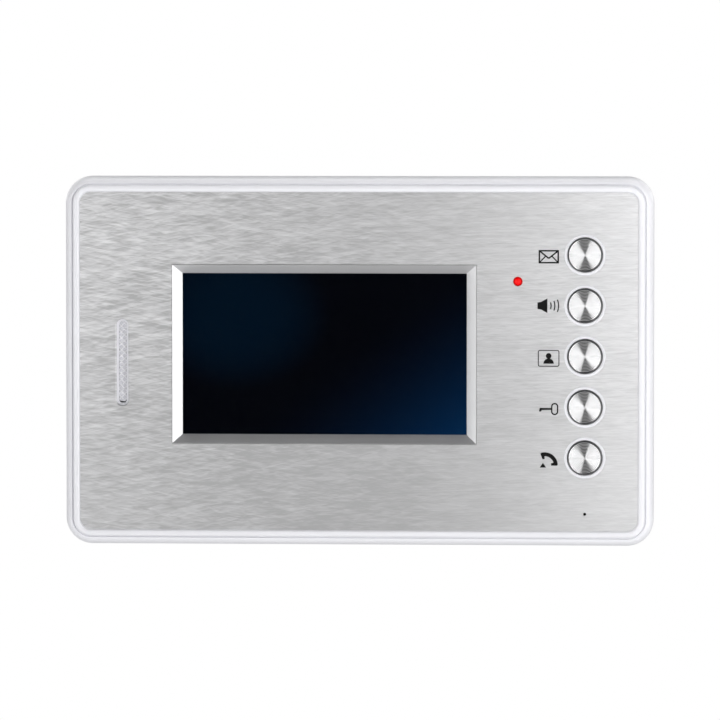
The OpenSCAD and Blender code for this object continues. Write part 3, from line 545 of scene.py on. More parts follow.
FINISHES = {
    "bracket_steel": rolled("bracket_steel", (0.60, 0.61, 0.62), 0.32, (0.4, 10, 14), 0.006, 0.14),
    "casing_white": moulded("casing_white", (0.84, 0.84, 0.875), 0.36, 0.4, 0.004, 0.02, Coat_Weight=0.15),
    "plate_aluminium": brushed_plate(),
    "symbol_ink": moulded("symbol_ink", (0.002,) * 3, 0.5, 0.12, 0.003, 0.4, Specular_IOR_Level=0.15),
    "bezel_silver": silver_paint(),
    "window_clear": clear_window(),
    "foam_black": moulded("foam_black", (0.02, 0.02, 0.021), 0.85, 0.3, 0.08, 0.3),
    "display_steel": rolled("display_steel", (0.60, 0.61, 0.62), 0.3),
    "display_black": dark_picture(),
    "backlight_white": moulded("backlight_white", (0.86, 0.86, 0.83), 0.3),
    "tail_film": moulded("tail_film", (0.62, 0.26, 0.04), 0.25, 0.5, 0.004, 0.15, Coat_Weight=0.4),
    "socket_beige": moulded("socket_beige", (0.70, 0.61, 0.45), 0.5),
    "screw_steel": rolled("screw_steel", (0.62, 0.62, 0.63), 0.24, (0.4, 0.4, 0.4), 0.003),
    "board_green": solder_mask(),
    "lamp_red": red_lamp(),
    "microphone_can": felt_faced_can(),
    "rubber_black": moulded("rubber_black", (0.018, 0.018, 0.018), 0.7, 0.25, 0.02, 0.25),
    "lead_insulation": moulded("lead_insulation", (0.42, 0.015, 0.015), 0.35, 0.3, 0.006, 0.15),
    "mesh_grey": woven_grey(),
    "cone_black": moulded("cone_black", (0.012, 0.012, 0.013), 0.5, 0.8, 0.03, 0.3),
    "magnet_iron": rolled("magnet_iron", (0.22, 0.22, 0.23), 0.4, (1, 1, 1), 0.01),
    "chip_black": moulded("chip_black", (0.02, 0.02, 0.021), 0.55, 0.2, 0.01, 0.2),
    "capacitor_can": rolled("capacitor_can", (0.75, 0.75, 0.76), 0.22, (0.6, 6, 0.6)),
    "coil_grey": moulded("coil_grey", (0.06, 0.06, 0.065), 0.6, 0.4, 0.02, 0.2),
    "crystal_can": rolled("crystal_can", (0.70, 0.70, 0.69), 0.18, (3, 3, 0.5), 0.002),
    "socket_ivory": moulded("socket_ivory", (0.82, 0.78, 0.66), 0.35),
    "pin_brass": rolled("pin_brass", (0.72, 0.54, 0.20), 0.2, (0.3, 3, 0.3), 0.002),
    "ribbon_grey": ribbed_ribbon(),
    "cap_metal": spun_cap(),
    # The key bodies' dark metal is painted shade and reflection: it stands in for the dark ring that the
    # bevel and the gap round each key show.
    "key_rim_dark": rolled("key_rim_dark", (0.20, 0.20, 0.205), 0.28, (0.6, 0.6, 0.6), 0.002),
    "switch_black": moulded("switch_black", (0.02, 0.02, 0.02), 0.5),
}


# ---------------------------------------------------------------- solids

def outline(shape, grow=0):
    """Points round a shape that is grown all round."""
    x, z, w, h, r = shape
    steps = ARC_STEPS if r >= SMALL_R else SMALL_ARC_STEPS
    across, up, r = w / 2 + grow, h / 2 + grow, r + grow
    points = []
    for corner in range(4):
        cx = (across - r) * (1, -1, -1, 1)[corner]
        cz = (up - r) * (1, 1, -1, -1)[corner]
        for i in range(steps + 1):
            angle = TURN / 4 * (corner + i / steps)
            points.append((x + cx + r * math.cos(angle), z + cz + r * math.sin(angle)))
    return [p for i, p in enumerate(points) if math.dist(p, points[i - 1]) > SAME_PLACE]


def circle(x, z, r):
    return x, z, 2 * r, 2 * r, r


def four(across, up, x=0, z=0):
    """Four places, across and up on both sides of (x, z)."""
    return [(x + a * across, z + b * up) for a in (-1, 1) for b in (-1, 1)]


def joined(*solids):
    """Several solids as one."""
    points, faces = [], []
    for more_points, more_faces in solids:
        start = len(points)
        points += more_points
        faces += [[start + i for i in face] for face in more_faces]
    return points, faces


def skin(rings, closed=True):
    """The faces between rings of points; closed joins the last ring to the first."""
    count = len(rings[0])
    ends = len(rings) if closed else len(rings) - 1
    faces = []
    for a in range(ends):
        b = (a + 1) % len(rings)
        for j in range(count):
            k = (j + 1) % count
            faces.append([a * count + j, a * count + k, b * count + k, b * count + j])
    return [p for ring in rings for p in ring], faces


def swept(shape, section):
    """A closed section of (inset, depth) points, swept round a shape."""
    return skin([[(x, z, depth) for x, z in outline(shape, -inset)] for inset, depth in section])


def turned(x, z, section, steps=72):
    """A section of (radius, depth) points, turned round an axis that it starts and ends on, or closed."""
    rings = []
    for r, depth in section:
        angles = [TURN * i / steps for i in range(steps)]
        rings.append([(x + r * math.cos(a), z + r * math.sin(a), depth) for a in angles])
    on_axis = section[0][0] == 0 and section[-1][0] == 0
    return skin(rings, closed=not on_axis)


def arc(centre_in, centre_depth, r_in, r_depth, start, end, steps=6):
    """Points of (inset, depth) along an arc, angles in degrees."""
    angles = [math.radians(start + (end - start) * i / steps) for i in range(steps + 1)]
    return [(centre_in + r_in * math.cos(a), centre_depth + r_depth * math.sin(a)) for a in angles]


def filled(shapes, depth):
    """A flat face within the first loop of points and outside the others."""
    bm = bmesh.new()
    for shape in shapes:
        corners = [bm.verts.new((x, z, depth)) for x, z in shape]
        for a, b in zip(corners, corners[1:] + corners[:1]):
            bm.edges.new((a, b))
    bmesh.ops.triangle_fill(bm, use_beauty=True, edges=bm.edges[:])
    bm.verts.index_update()
    points = [tuple(v.co) for v in bm.verts]
    faces = [[v.index for v in face.verts] for face in bm.faces]
    bm.free()
    return points, faces


def sheet(edge, holes, back, face, edge_round=0.15, wide_holes=(), outer_round=None):
    """A flat sheet whose edge and holes are shapes, with every rim rounded over.

    wide_holes are (shape, bevel) holes with a straight bevel on their front rim.
    """
    parts = []
    loops = {back: [], face: []}
    rims = [(edge, -1, None, outer_round or edge_round)]
    rims += [(hole, 1, None, edge_round) for hole in holes]
    rims += [(hole, 1, bevel, edge_round) for hole, bevel in wide_holes]
    for shape, out, bevel, r in rims:
        rim = [(r - r * math.sin(a), back + r - r * math.cos(a)) for a in (0, TURN / 8, TURN / 4)]
        if bevel:
            rim += [(0, face - bevel), (bevel, face)]
        else:
            rim += [(r - r * math.cos(a), face - r + r * math.sin(a)) for a in (0, TURN / 8, TURN / 4)]
        rings = [[(x, z, depth) for x, z in outline(shape, out * inset)] for inset, depth in rim]
        parts.append(skin(rings, closed=False))
        loops[back].append(outline(shape, out * rim[0][0]))
        loops[face].append(outline(shape, out * rim[-1][0]))
    parts += [filled(shapes, depth) for depth, shapes in loops.items()]
    return joined(*parts)


def bent_strip(x, path, thickness, w):
    """A strip of sheet metal w wide that follows a path of (z, depth) points."""
    left, right = [], []
    for i, (z, depth) in enumerate(path):
        before, after = path[max(i - 1, 0)], path[min(i + 1, len(path) - 1)]
        along = Vector((after[0] - before[0], after[1] - before[1])).normalized()
        left.append((z - along.y * thickness / 2, depth + along.x * thickness / 2))
        right.append((z + along.y * thickness / 2, depth - along.x * thickness / 2))
    section = left + right[::-1]
    rings = [[(x + side * w / 2, z, depth) for z, depth in section] for side in (-1, 1)]
    count = len(section)
    points, faces = skin(rings, closed=False)
    quads = [[i, i + 1, count - 2 - i, count - 1 - i] for i in range(len(path) - 1)]
    return points, faces + quads + [[count + i for i in quad] for quad in quads]


# ---------------------------------------------------------------- pieces

def placed(name, data):
    """A new object at the scene's origin."""
    made = bpy.data.objects.new(name, data)
    bpy.context.scene.collection.objects.link(made)
    return made


def finished(name, made, body, slot, stands_for=(), crease=20):
    """Makes a mesh a piece of the object: smooth, with its sharp edges kept, riding on its body."""
    made.shade_smooth()
    made.set_sharp_from_angle(angle=math.radians(crease))
    made.materials.clear()
    made.materials.append(FINISHES[slot])
    piece = placed(name, made)
    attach(piece, body)
    if stands_for:
        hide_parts(*stands_for)
    return piece


def metres(x, z, depth):
    """A place in the frame's metres."""
    return (x * MM, -depth * MM, z * MM)


def plain_mesh(name, solid):
    """A closed mesh in the frame's metres, with its doubles merged and its faces outwards."""
    points, faces = solid
    bm = bmesh.new()
    corners = [bm.verts.new(metres(*point)) for point in points]
    for face in faces:
        bm.faces.new([corners[i] for i in face])
    bmesh.ops.remove_doubles(bm, verts=bm.verts, dist=2 * SAME_VERTEX)
    bmesh.ops.dissolve_degenerate(bm, dist=SAME_VERTEX, edges=bm.edges)
    bmesh.ops.recalc_face_normals(bm, faces=bm.faces)
    made = bpy.data.meshes.new(name)
    bm.to_mesh(made)
    bm.free()
    return made


def make(name, solid, body, slot, stands_for=()):
    return finished(name, plain_mesh(name, solid), body, slot, stands_for)


class Growth(Nodes):
    """A Geometry Nodes tree with named inputs. grow() runs it and gives a plain mesh."""

    KINDS = {int: "NodeSocketInt", float: "NodeSocketFloat", tuple: "NodeSocketVector"}

    def __init__(self, name, **sizes):
        super().__init__(bpy.data.node_groups.new(name, "GeometryNodeTree"))
        sockets = self.tree.interface
        sockets.new_socket("Piece", in_out="OUTPUT", socket_type="NodeSocketGeometry")
        sockets.new_socket("Pattern", in_out="INPUT", socket_type="NodeSocketGeometry")
        for size, value in sizes.items():
            kind = self.KINDS[type(value)]
            sockets.new_socket(size.replace("_", " "), in_out="INPUT", socket_type=kind)
        sockets.new_socket("Finish", in_out="INPUT", socket_type="NodeSocketMaterial")
        self.sizes = sizes
        self.entry = self.tree.nodes.new("NodeGroupInput")

    def given(self, name):
        return Value(self, self.entry.outputs[name.replace("_", " ")])

    def end(self, geometry):
        """Real geometry with its finish, at the tree's end."""
        real = self.node("GeometryNodeRealizeInstances", {}, {0: geometry})
        finish = {"Geometry": real, "Material": self.given("Finish")}
        self.node("NodeGroupOutput", {}, {0: self.node("GeometryNodeSetMaterial", {}, finish)})

    def grow(self, name, slot, pattern=None, **sizes):
        """Runs the tree on a pattern mesh with these sizes."""
        carrier = placed(name, pattern or bpy.data.meshes.new(name))
        modifier = carrier.modifiers.new(name, "NODES")
        modifier.node_group = self.tree
        values = {**self.sizes, **sizes, "Finish": FINISHES[slot]}
        for item in self.tree.interface.items_tree:
            key = item.name.replace(" ", "_")
            if item.in_out == "INPUT" and key in values:
                modifier[item.identifier] = values[key]
        ready = carrier.evaluated_get(bpy.context.evaluated_depsgraph_get())
        made = bpy.data.meshes.new_from_object(ready)
        made.name = name
        carrier.modifiers.remove(modifier)
        bpy.data.objects.remove(carrier)
        return made


def grid_of_copies():
    """Copies of a pattern on a grid of places."""
    tree = Growth("grid_of_copies", Across=2, Up=2, Pitch_across=1.0, Pitch_up=1.0, Centre=(0.0, 0.0, 0.0))
    across, up = tree.given("Across"), tree.given("Up")
    pitch_across, pitch_up = tree.given("Pitch_across"), tree.given("Pitch_up")
    row = tree.node("GeometryNodeMeshLine", {}, {
        "Count": across, "Start Location": tree.vector((across - 1) * pitch_across * -0.5, 0, 0),
        "Offset": tree.vector(pitch_across, 0, 0),
    })
    column = tree.node("GeometryNodeMeshLine", {}, {
        "Count": up, "Start Location": tree.vector(0, 0, (up - 1) * pitch_up * -0.5),
        "Offset": tree.vector(0, 0, pitch_up),
    })
    rows = tree.node("GeometryNodeInstanceOnPoints", {}, {"Points": column, "Instance": row})
    places = tree.node("GeometryNodeRealizeInstances", {}, {0: rows})
    moved = tree.node("GeometryNodeSetPosition", {}, {"Geometry": places, "Offset": tree.given("Centre")})
    copies = {"Points": moved, "Instance": tree.given("Pattern")}
    tree.end(tree.node("GeometryNodeInstanceOnPoints", {}, copies))
    return tree


def spun_disc():
    """A closed disc whose dished face is spun into fine rings.

    Its rows run out over the face, down the side, and in again over the back.
    """
    face_rows, side_rows, back_rows, spokes = 108, 4, 4, 96
    rows = face_rows + side_rows + back_rows
    tree = Growth(
        "spun_disc", Radius=5 * MM, Thickness=1 * MM, Dish=0.1 * MM, Rings=18, Ring_depth=0.04 * MM,
        Centre=(0.0, 0.0, 0.0),
    )
    grid = tree.node("GeometryNodeMeshGrid", {}, {
        "Size X": 1.0, "Size Y": 1.0, "Vertices X": rows + 1, "Vertices Y": spokes + 1,
    })
    across, up, _ = tree.parts(tree.node("GeometryNodeInputPosition"))
    along = (across + 0.5) * rows
    over_face = along.ramp(0, face_rows, smooth=False)
    down_side = along.ramp(face_rows, face_rows + side_rows, smooth=False)
    back_in = along.ramp(face_rows + side_rows, rows, smooth=False)
    angle = (up + 0.5) * TURN
    rings = ((over_face * tree.given("Rings") * TURN).cosine() - 1) * 0.5 * tree.given("Ring_depth")
    dish = (over_face ** 2 - 1) * tree.given("Dish")
    depth = (rings + dish) * (1 - down_side) - down_side * tree.given("Thickness")
    reach = (over_face - back_in) * tree.given("Radius")
    place = tree.vector(reach * angle.cosine(), depth * -1, reach * angle.sine())
    bent = tree.node("GeometryNodeSetPosition", {}, {"Geometry": grid, "Position": place})
    moved = tree.node("GeometryNodeSetPosition", {}, {"Geometry": bent, "Offset": tree.given("Centre")})
    tree.end(tree.node("GeometryNodeMergeByDistance", {}, {"Geometry": moved, "Distance": SAME_VERTEX}))
    return tree


def woven_threads():
    """Wavy threads side by side, every second one turned round, so that they meet in diamonds."""
    tree = Growth(
        "woven_threads", Length=30 * MM, Threads=5, Pitch=1 * MM, Wave=1.5 * MM, Thread=0.2 * MM,
        Centre=(0.0, 0.0, 0.0),
    )
    length, pitch, threads = tree.given("Length"), tree.given("Pitch"), tree.given("Threads")
    line = tree.node("GeometryNodeCurvePrimitiveLine", {}, {
        "Start": tree.vector(0, 0, length * -0.5), "End": tree.vector(0, 0, length * 0.5),
    })
    points = tree.node("GeometryNodeResampleCurve", {}, {
        "Curve": line, "Count": length * 4 / tree.given("Wave") + 1,
    })
    up = tree.parts(tree.node("GeometryNodeInputPosition"))[2]
    swing = (up / tree.given("Wave") * TURN).sine() * pitch * 0.5
    wavy = tree.node("GeometryNodeSetPosition", {}, {"Geometry": points, "Offset": tree.vector(swing, 0, 0)})
    round_section = {"Resolution": 6, "Radius": tree.given("Thread")}
    section = tree.node("GeometryNodeCurvePrimitiveCircle", {}, round_section)
    along_it = {"Curve": wavy, "Profile Curve": section, "Fill Caps": True}
    thread = tree.node("GeometryNodeCurveToMesh", {}, along_it)
    places = tree.node("GeometryNodeMeshLine", {}, {
        "Count": threads, "Start Location": tree.vector((threads - 1) * pitch * -0.5, 0, 0),
        "Offset": tree.vector(pitch, 0, 0),
    })
    number = tree.node("GeometryNodeInputIndex")
    half_turn = tree.node("ShaderNodeMath", {"operation": "MODULO"}, {0: number, 1: 2}) * (TURN / 2)
    side_by_side = tree.node("GeometryNodeInstanceOnPoints", {}, {
        "Points": places, "Instance": thread, "Rotation": tree.vector(0, 0, half_turn),
    })
    tree.end(tree.node("GeometryNodeSetPosition", {}, {
        "Geometry": tree.node("GeometryNodeRealizeInstances", {}, {0: side_by_side}),
        "Offset": tree.given("Centre"),
    }))
    return tree


COPIES = grid_of_copies()
SPUN = spun_disc()
THREADS = woven_threads()


# ---------------------------------------------------------------- front casing

def front_rim():
    """The casing's outer wall, with its round shoulder, thin groove and raised ring."""
    wall_foot = [(WALL_T, PANEL_BACK - 1), (WALL_T, PARTING)]
    shoulder = arc(SHOULDER_W, SHOULDER_TOP - SHOULDER_D, -SHOULDER_W, SHOULDER_D, 0, 90, 16)
    groove = [(SHOULDER_W + 0.04, SHOULDER_TOP - 0.15), (SHOULDER_W + 0.08, SHOULDER_TOP - GROOVE_D)]
    groove += [(GROOVE_IN - 0.06, SHOULDER_TOP - GROOVE_D)]
    ring = arc(GROOVE_IN + RING_ROUND, front.face - RING_ROUND, -RING_ROUND, RING_ROUND, 0, 90, 8)
    ring += arc(RING_IN - RING_ROUND, front.face - RING_ROUND, RING_ROUND, RING_ROUND, 90, 0, 8)
    seat = [(RING_IN, plate.face - 0.12), (RING_IN + 0.08, plate.face - 0.14), (RING_IN + 0.08, plate.back)]
    seat += [(RIM_IN, plate.back)]
    inside = [(RIM_IN, PANEL_BACK), (WALL_T + 1, PANEL_BACK)]
    section = [(0.25, PARTING), (0, PARTING + 0.25)] + shoulder + groove + ring + seat + inside + wall_foot
    return swept((0, 0, front.w, front.h, CORNER_R), section)


def bezel_opening():
    """The middle and the size of the opening that the bezel fills."""
    w, h = bezel.w - 2 * BEZEL_FLANGE, bezel.h - 2 * BEZEL_FLANGE
    return bezel.x, bezel.z, w, h


def slot_shape(grow=0):
    return mesh.x, mesh.z, SLOT_W + 2 * grow, SLOT_L + 2 * grow, SLOT_W / 2 + grow


def front_openings(corner_r, key_r, sound_r):
    """The openings for the bezel, the keys, the lamp and the microphone."""
    x, z, w, h = bezel_opening()
    openings = [(x, z, w + 2 * BEZEL_GAP, h + 2 * BEZEL_GAP, corner_r)]
    openings += [circle(cap.x, cap.z, key_r) for cap in caps.values()]
    return openings + [circle(lamp.x, lamp.z, LAMP_HOLE_R), circle(microphone.x, microphone.z, sound_r)]


def front_panel():
    """The panel behind the plate, with its openings."""
    holes = front_openings(0.2, COLLAR_R - COLLAR_ROUND, SOUND_CHANNEL_R) + [slot_shape(PANEL_MARGIN)]
    w, h = front.w - 2 * RIM_IN + 1, front.h - 2 * RIM_IN + 1
    return sheet((0, 0, w, h, 0.5), holes, PANEL_BACK, plate.back, 0.05)


def key_collars():
    """A round collar for each key, standing a little proud of the plate."""
    top, r = plate.face + COLLAR_PROUD, COLLAR_ROUND
    seat_r = COLLAR_R + 0.08
    section = [(KEY_HOLE_R, PANEL_BACK), (KEY_HOLE_R, top - 0.15), (KEY_HOLE_R + 0.05, top - 0.04)]
    section += [(KEY_HOLE_R + 0.18, top)]
    section += arc(COLLAR_R - r, top - r, r, r, 90, 0)
    section += [(COLLAR_R, plate.face - 0.06), (seat_r, plate.face - 0.08), (seat_r, PANEL_BACK)]
    return joined(*[turned(cap.x, cap.z, section, 96) for cap in caps.values()])


def slot_surround():
    """The sloping wall inside the loudspeaker slot."""
    deep = mesh.face
    section = [(0, plate.back), (0.02, plate.back - 0.08), (SLOT_SLOPE, deep + 0.05), (SLOT_SLOPE, deep)]
    section += [(-SURROUND_T, deep), (-SURROUND_T, plate.back)]
    return swept(slot_shape(), section)


def screen_ribs():
    """The ribs that hold the display, and the posts for its clamps, the key board and the loudspeaker."""
    w, h = display.w + DISPLAY_FIT, display.h + DISPLAY_FIT
    inside = (display.x, display.z, w, h, SMALL_R)
    outside = (display.x, display.z, w + 2 * RIB_T, h + 2 * RIB_T, SMALL_R)
    ribs = sheet(outside, [inside], display.back + DISPLAY_FIT, PANEL_BACK + ROOT, 0.1)
    rise = display.h / 2 + DISPLAY_FIT / 2 + POST_R + 0.2
    posts = [(x, z, display.back) for x, z in four(CLAMP_X, rise, display.x, display.z)]
    for z in (-KEY_BOARD_SCREW_Z, 0, KEY_BOARD_SCREW_Z):
        posts.append((key_board.right - KEY_BOARD_SCREW_IN, key_board.z + z, key_board.face))
    for z in (-STRIP_SCREW_Z, STRIP_SCREW_Z):
        posts.append((strip.x, mesh.z + z, strip.face))
    return joined(ribs, *[post(x, z, POST_R, PILOT_R, back, PANEL_BACK + ROOT) for x, z, back in posts])


def post(x, z, r, hole_r, back, face):
    """A screw post with its pilot hole."""
    hole_end = face - PILOT_FLOOR
    section = [(0, hole_end), (hole_r, hole_end), (hole_r, back), (r - EDGE, back)]
    return turned(x, z, section + [(r, back + EDGE), (r, face), (0, face)], 32)


def casing_posts():
    """The posts that the casing screws go into."""
    back, face = WELL_FLOOR + FLOOR_T, PANEL_BACK + ROOT
    return joined(*[post(x, z, CASING_POST_R, CASING_PILOT_R, back, face) for x, z in four(SCREW_X, SCREW_Z)])


def round_wall(x, z, inner_r, foot, steps):
    """A round wall on the panel's back. Its free end has bevelled edges."""
    root, outer_r = PANEL_BACK + ROOT, inner_r + SEAT_T
    section = [(inner_r, root), (inner_r, foot + EDGE), (inner_r + EDGE, foot), (outer_r - EDGE, foot)]
    return turned(x, z, section + [(outer_r, foot + EDGE), (outer_r, root)], steps)


def round_walls():
    """The walls round the microphone and the loudspeaker."""
    microphone_foot = PANEL_BACK - MICROPHONE_SEAT_D
    speaker_r, speaker_foot = speaker.w / 2 + SPEAKER_SEAT_GAP, speaker.back - SPEAKER_SEAT_D
    return [round_wall(microphone.x, microphone.z, MICROPHONE_SEAT_R, microphone_foot, 72),
            round_wall(speaker.x, speaker.z, speaker_r, speaker_foot, 96)]


make("casing_rim", front_rim(), "monitor", "casing_white", ["front_casing"])
make("casing_panel", front_panel(), "monitor", "casing_white")
make("key_collars", key_collars(), "monitor", "casing_white")
make("slot_surround", slot_surround(), "monitor", "casing_white")
make("casing_posts", joined(screen_ribs(), casing_posts(), *round_walls()), "monitor", "casing_white")


# ---------------------------------------------------------------- plate, bezel, keys, lamp

def face_plate():
    """The plate, with its openings and the bevelled loudspeaker slot."""
    holes = front_openings(0.1, COLLAR_R + PLATE_GAP, SOUND_HOLE_R)
    edge = (plate.x, plate.z, plate.w, plate.h, PLATE_R)
    return sheet(edge, holes, plate.back, plate.face, 0.07, [(slot_shape(), SLOT_BEVEL)])


def frame_round(rings):
    """Mitred rings of (w, h, depth) round the screen, as one closed frame."""
    loops = []
    for w, h, depth in rings:
        corners = [(1, 1), (-1, 1), (-1, -1), (1, -1)]
        loops.append([(bezel.x + a * w / 2, bezel.z + b * h / 2, depth) for a, b in corners])
    return skin(loops)


def screen_bezel():
    """The bezel: a flange behind the panel, a funnel in front, and a ledge for the window."""
    w, h = bezel_opening()[2:]
    back, face = bezel.back, bezel.face
    screen_w, screen_h = w - 2 * BEZEL_SIDE, h - 2 * BEZEL_TOP
    lip_w, lip_h = w - 2 * BEZEL_LIP, h - 2 * BEZEL_LIP
    ledge_w, ledge_h = window.w + 0.2, window.h + 0.2
    return frame_round([
        (bezel.w, bezel.h, back), (bezel.w, bezel.h, PANEL_BACK), (w, h, PANEL_BACK), (w, h, face - 0.05),
        (w - 0.1, h - 0.1, face), (lip_w, lip_h, face), (screen_w + 0.12, screen_h + 0.12, PANEL_BACK + 0.12),
        (screen_w, screen_h, PANEL_BACK + 0.02), (screen_w, screen_h, PANEL_BACK),
        (ledge_w, ledge_h, PANEL_BACK), (ledge_w, ledge_h, back),
    ])


def key_body(key):
    """The moulding under a cap, dark as painted shade and reflection round the key: its bevelled rim, shank,
    flange and foot.
    """
    cap, plunger = caps[key], plungers[key]
    cap_r = cap.w / 2
    flange_r, flange_back, flange_face = plunger.w / 2, PANEL_BACK - 1.2, PANEL_BACK - 0.2
    soft = 0.15
    top, bevel = cap.face, cap.face - KEY_BEVEL - 0.1
    section = [(0, plunger.back), (FOOT_R - EDGE, plunger.back), (FOOT_R, plunger.back + EDGE)]
    section += [(FOOT_R, flange_back), (flange_r - soft, flange_back), (flange_r, flange_back + soft)]
    section += [(flange_r, flange_face - soft), (flange_r - soft, flange_face), (KEY_R, flange_face)]
    section += [(KEY_R, bevel)] + arc(KEY_R - 0.1, bevel, 0.1, 0.1, 0, 45, 3)
    section += [(KEY_R - KEY_BEVEL, top), (cap_r + 0.05, top), (cap_r + 0.05, cap.back), (0, cap.back)]
    return turned(cap.x, cap.z, section, 96)


def lamp_body():
    """The lamp's dome, rim and two legs."""
    dome = arc(0, lamp.face - LAMP_R, LAMP_R, LAMP_R, 90, 0, 16)
    foot = lamp.face - LAMP_H
    rim, soft = LAMP_R + LAMP_RIM, 0.05
    section = dome + [(LAMP_R, foot + 1 + soft), (rim, foot + 1), (rim + soft, foot + 1 - soft)]
    section += [(rim + soft, foot + soft), (rim, foot), (0, foot)]
    body = turned(lamp.x, lamp.z, section, 64)
    legs = [sheet((lamp.x + x, lamp.z, LEG_W, LEG_W, LEG_R), [], lamp.back, foot + 0.1, soft)
            for x in (-LEG_X, LEG_X)]
    return joined(body, *legs)


def mesh_border():
    """The flat border of the loudspeaker's mesh, and the cloth behind it, which stops short of both ends."""
    edge = (mesh.x, mesh.z, mesh.w, mesh.h, mesh.w / 2)
    cloth = (mesh.x, mesh.z + (MESH_END - MESH_TOP) / 2, SLOT_W, SLOT_L - MESH_END - MESH_TOP, SLOT_W / 2)
    border = sheet(edge, [slot_shape(-MESH_BORDER)], mesh.back, mesh.face, 0.05)
    return joined(border, sheet(cloth, [], mesh.back, mesh.back + CLOTH_T, 0.05))


make("face_plate", face_plate(), "monitor", "plate_aluminium", ["front_plate"])
make("screen_frame", screen_bezel(), "monitor", "bezel_silver", ["screen_bezel"])
make("lamp_dome", lamp_body(), "monitor", "lamp_red", ["indicator_lamp"])
for key, cap in caps.items():
    make(key + "_key_body", key_body(key), key + "_key", "key_rim_dark", [key + "_plunger"])
    spun = SPUN.grow(
        key + "_key_face", "cap_metal", Radius=cap.w / 2 * MM, Thickness=(cap.face - cap.back) * MM,
        Dish=0.1 * MM, Rings=11, Ring_depth=0.075 * MM, Centre=metres(cap.x, cap.z, cap.face),
    )
    finished(key + "_key_face", spun, key + "_key", "cap_metal", [key + "_cap"], crease=60)

make("mesh_border", mesh_border(), "monitor", "mesh_grey")
threads = THREADS.grow(
    "mesh_threads", "mesh_grey", Length=(SLOT_L - MESH_END) * MM, Threads=5, Pitch=1.05 * MM, Wave=2 * MM,
    Thread=0.22 * MM, Centre=metres(mesh.x, mesh.z + MESH_END / 2, (mesh.face + mesh.back) / 2),
)
finished("mesh_threads", threads, "monitor", "mesh_grey", ["speaker_mesh"], crease=80)


# ---------------------------------------------------------------- rear casing

def rear_rim():
    """The rear casing's curved skirt, with the lip that fits inside the front casing."""
    bend, foot = REAR_BEND_R, REAR_BACK + REAR_BEND_R
    inner_r, inner = REAR_INNER_R, REAR_STEP + 2 * WALL_T + REAR_INNER_R
    skirt = [(REAR_STEP, PARTING - EDGE), (REAR_STEP + WALL_T, foot)]
    turn_in = arc(REAR_STEP + WALL_T + bend, foot, -bend, -bend, 0, 90, 12)[1:]
    inside = [(RIM_IN, REAR_BACK), (RIM_IN, REAR_FACE), (inner, REAR_FACE)]
    inside += arc(inner, REAR_FACE + inner_r, -inner_r, -inner_r, 90, 0, 6)[1:]
    lip = [(LIP_IN + 1, PARTING - 1), (LIP_IN + 1, PARTING + LIP_H), (LIP_IN, PARTING + LIP_H)]
    lip += [(LIP_IN, PARTING), (REAR_STEP + EDGE, PARTING)]
    return swept((0, 0, front.w, front.h, CORNER_R), skirt + turn_in + inside + lip)


def recess_outline(grow=0):
    return 0, -RECESS_DROP, RECESS_W + 2 * grow, RECESS_H + 2 * grow, 0.5


def vent_panel(side):
    """Where one side's vent slats go."""
    return side * VENT_X, 0, VENT_L + 0.4, VENT_ROWS * VENT_PITCH, 1


def rear_wall():
    """The back wall round the bracket's recess, with its screw wells and vents."""
    holes = [recess_outline(), vent_panel(-1), vent_panel(1)]
    wells = [circle(x, z, WELL_R) for x, z in four(SCREW_X, SCREW_Z)]
    edge = (0, 0, front.w - 2 * RIM_IN, front.h - 2 * RIM_IN, 0.5)
    return sheet(edge, holes + wells, REAR_BACK, REAR_FACE, 0.2, outer_round=0.01)


def recess_tray():
    """The recess: its side walls, and its floor with the terminal bay and the four hook slots."""
    walls = sheet(recess_outline(FLOOR_T), [recess_outline()], WELL_ROOT, RECESS_D + EDGE, 0.05)
    openings = [(0, 0, BAY_W, BAY_H, 0.3)]
    for x, z in four(HOOK_X, HOOK_Z):
        openings.append((x, z + BRACKET_T + 0.1 - HOOK_SLOT_H / 2, HOOK_SLOT_W, HOOK_SLOT_H, 0.3))
    return joined(walls, sheet(recess_outline(FLOOR_T), openings, RECESS_D, RECESS_D + FLOOR_T))


def screw_well(x, z):
    """A deep well for a casing screw, with the hole that the screw goes through."""
    back, floor, outer_r = WELL_ROOT, WELL_FLOOR + FLOOR_T, WELL_R + WELL_T
    section = [(WELL_HOLE_R, WELL_FLOOR), (WELL_R - EDGE, WELL_FLOOR), (WELL_R, WELL_FLOOR - EDGE)]
    section += [(WELL_R, back), (outer_r, back), (outer_r, floor), (WELL_HOLE_R, floor)]
    return turned(x, z, section, 48)


def rear_posts():
    """The posts that the main board is screwed to, and the wells of the casing screws."""
    foot, top = RECESS_D + ROOT, main_board.back
    section = [(0, RECESS_D + 1), (PILOT_R, RECESS_D + 1), (PILOT_R, top), (POST_R - EDGE, top)]
    section += [(POST_R, top - EDGE), (POST_R, foot), (0, foot)]
    places = four(MAIN_BOARD_SCREW_X, MAIN_BOARD_SCREW_Z, main_board.x, main_board.z)
    posts = [turned(x, z, section, 32) for x, z in places]
    return joined(*posts, *[screw_well(x, z) for x, z in four(SCREW_X, SCREW_Z)])


def vent_slat():
    """One slat with rounded edges, centred on the object."""
    rise = VENT_PITCH - VENT_W
    return sheet((0, 0, VENT_L + 0.6, rise, 0.5), [], 0.55, 2.25, 0.35)


make("rear_rim", rear_rim(), "monitor", "casing_white", ["rear_casing"])
make("rear_wall", rear_wall(), "monitor", "casing_white")
make("recess_tray", recess_tray(), "monitor", "casing_white")
make("rear_posts", rear_posts(), "monitor", "casing_white")
for side, name in ((-1, "vents_left"), (1, "vents_right")):
    slats = COPIES.grow(
        name, "casing_white", plain_mesh(name, vent_slat()), Across=1, Up=VENT_ROWS - 1,
        Pitch_up=VENT_PITCH * MM, Centre=(side * VENT_X * MM, 0.0, 0.0),
    )
    finished(name, slats, "monitor", "casing_white")


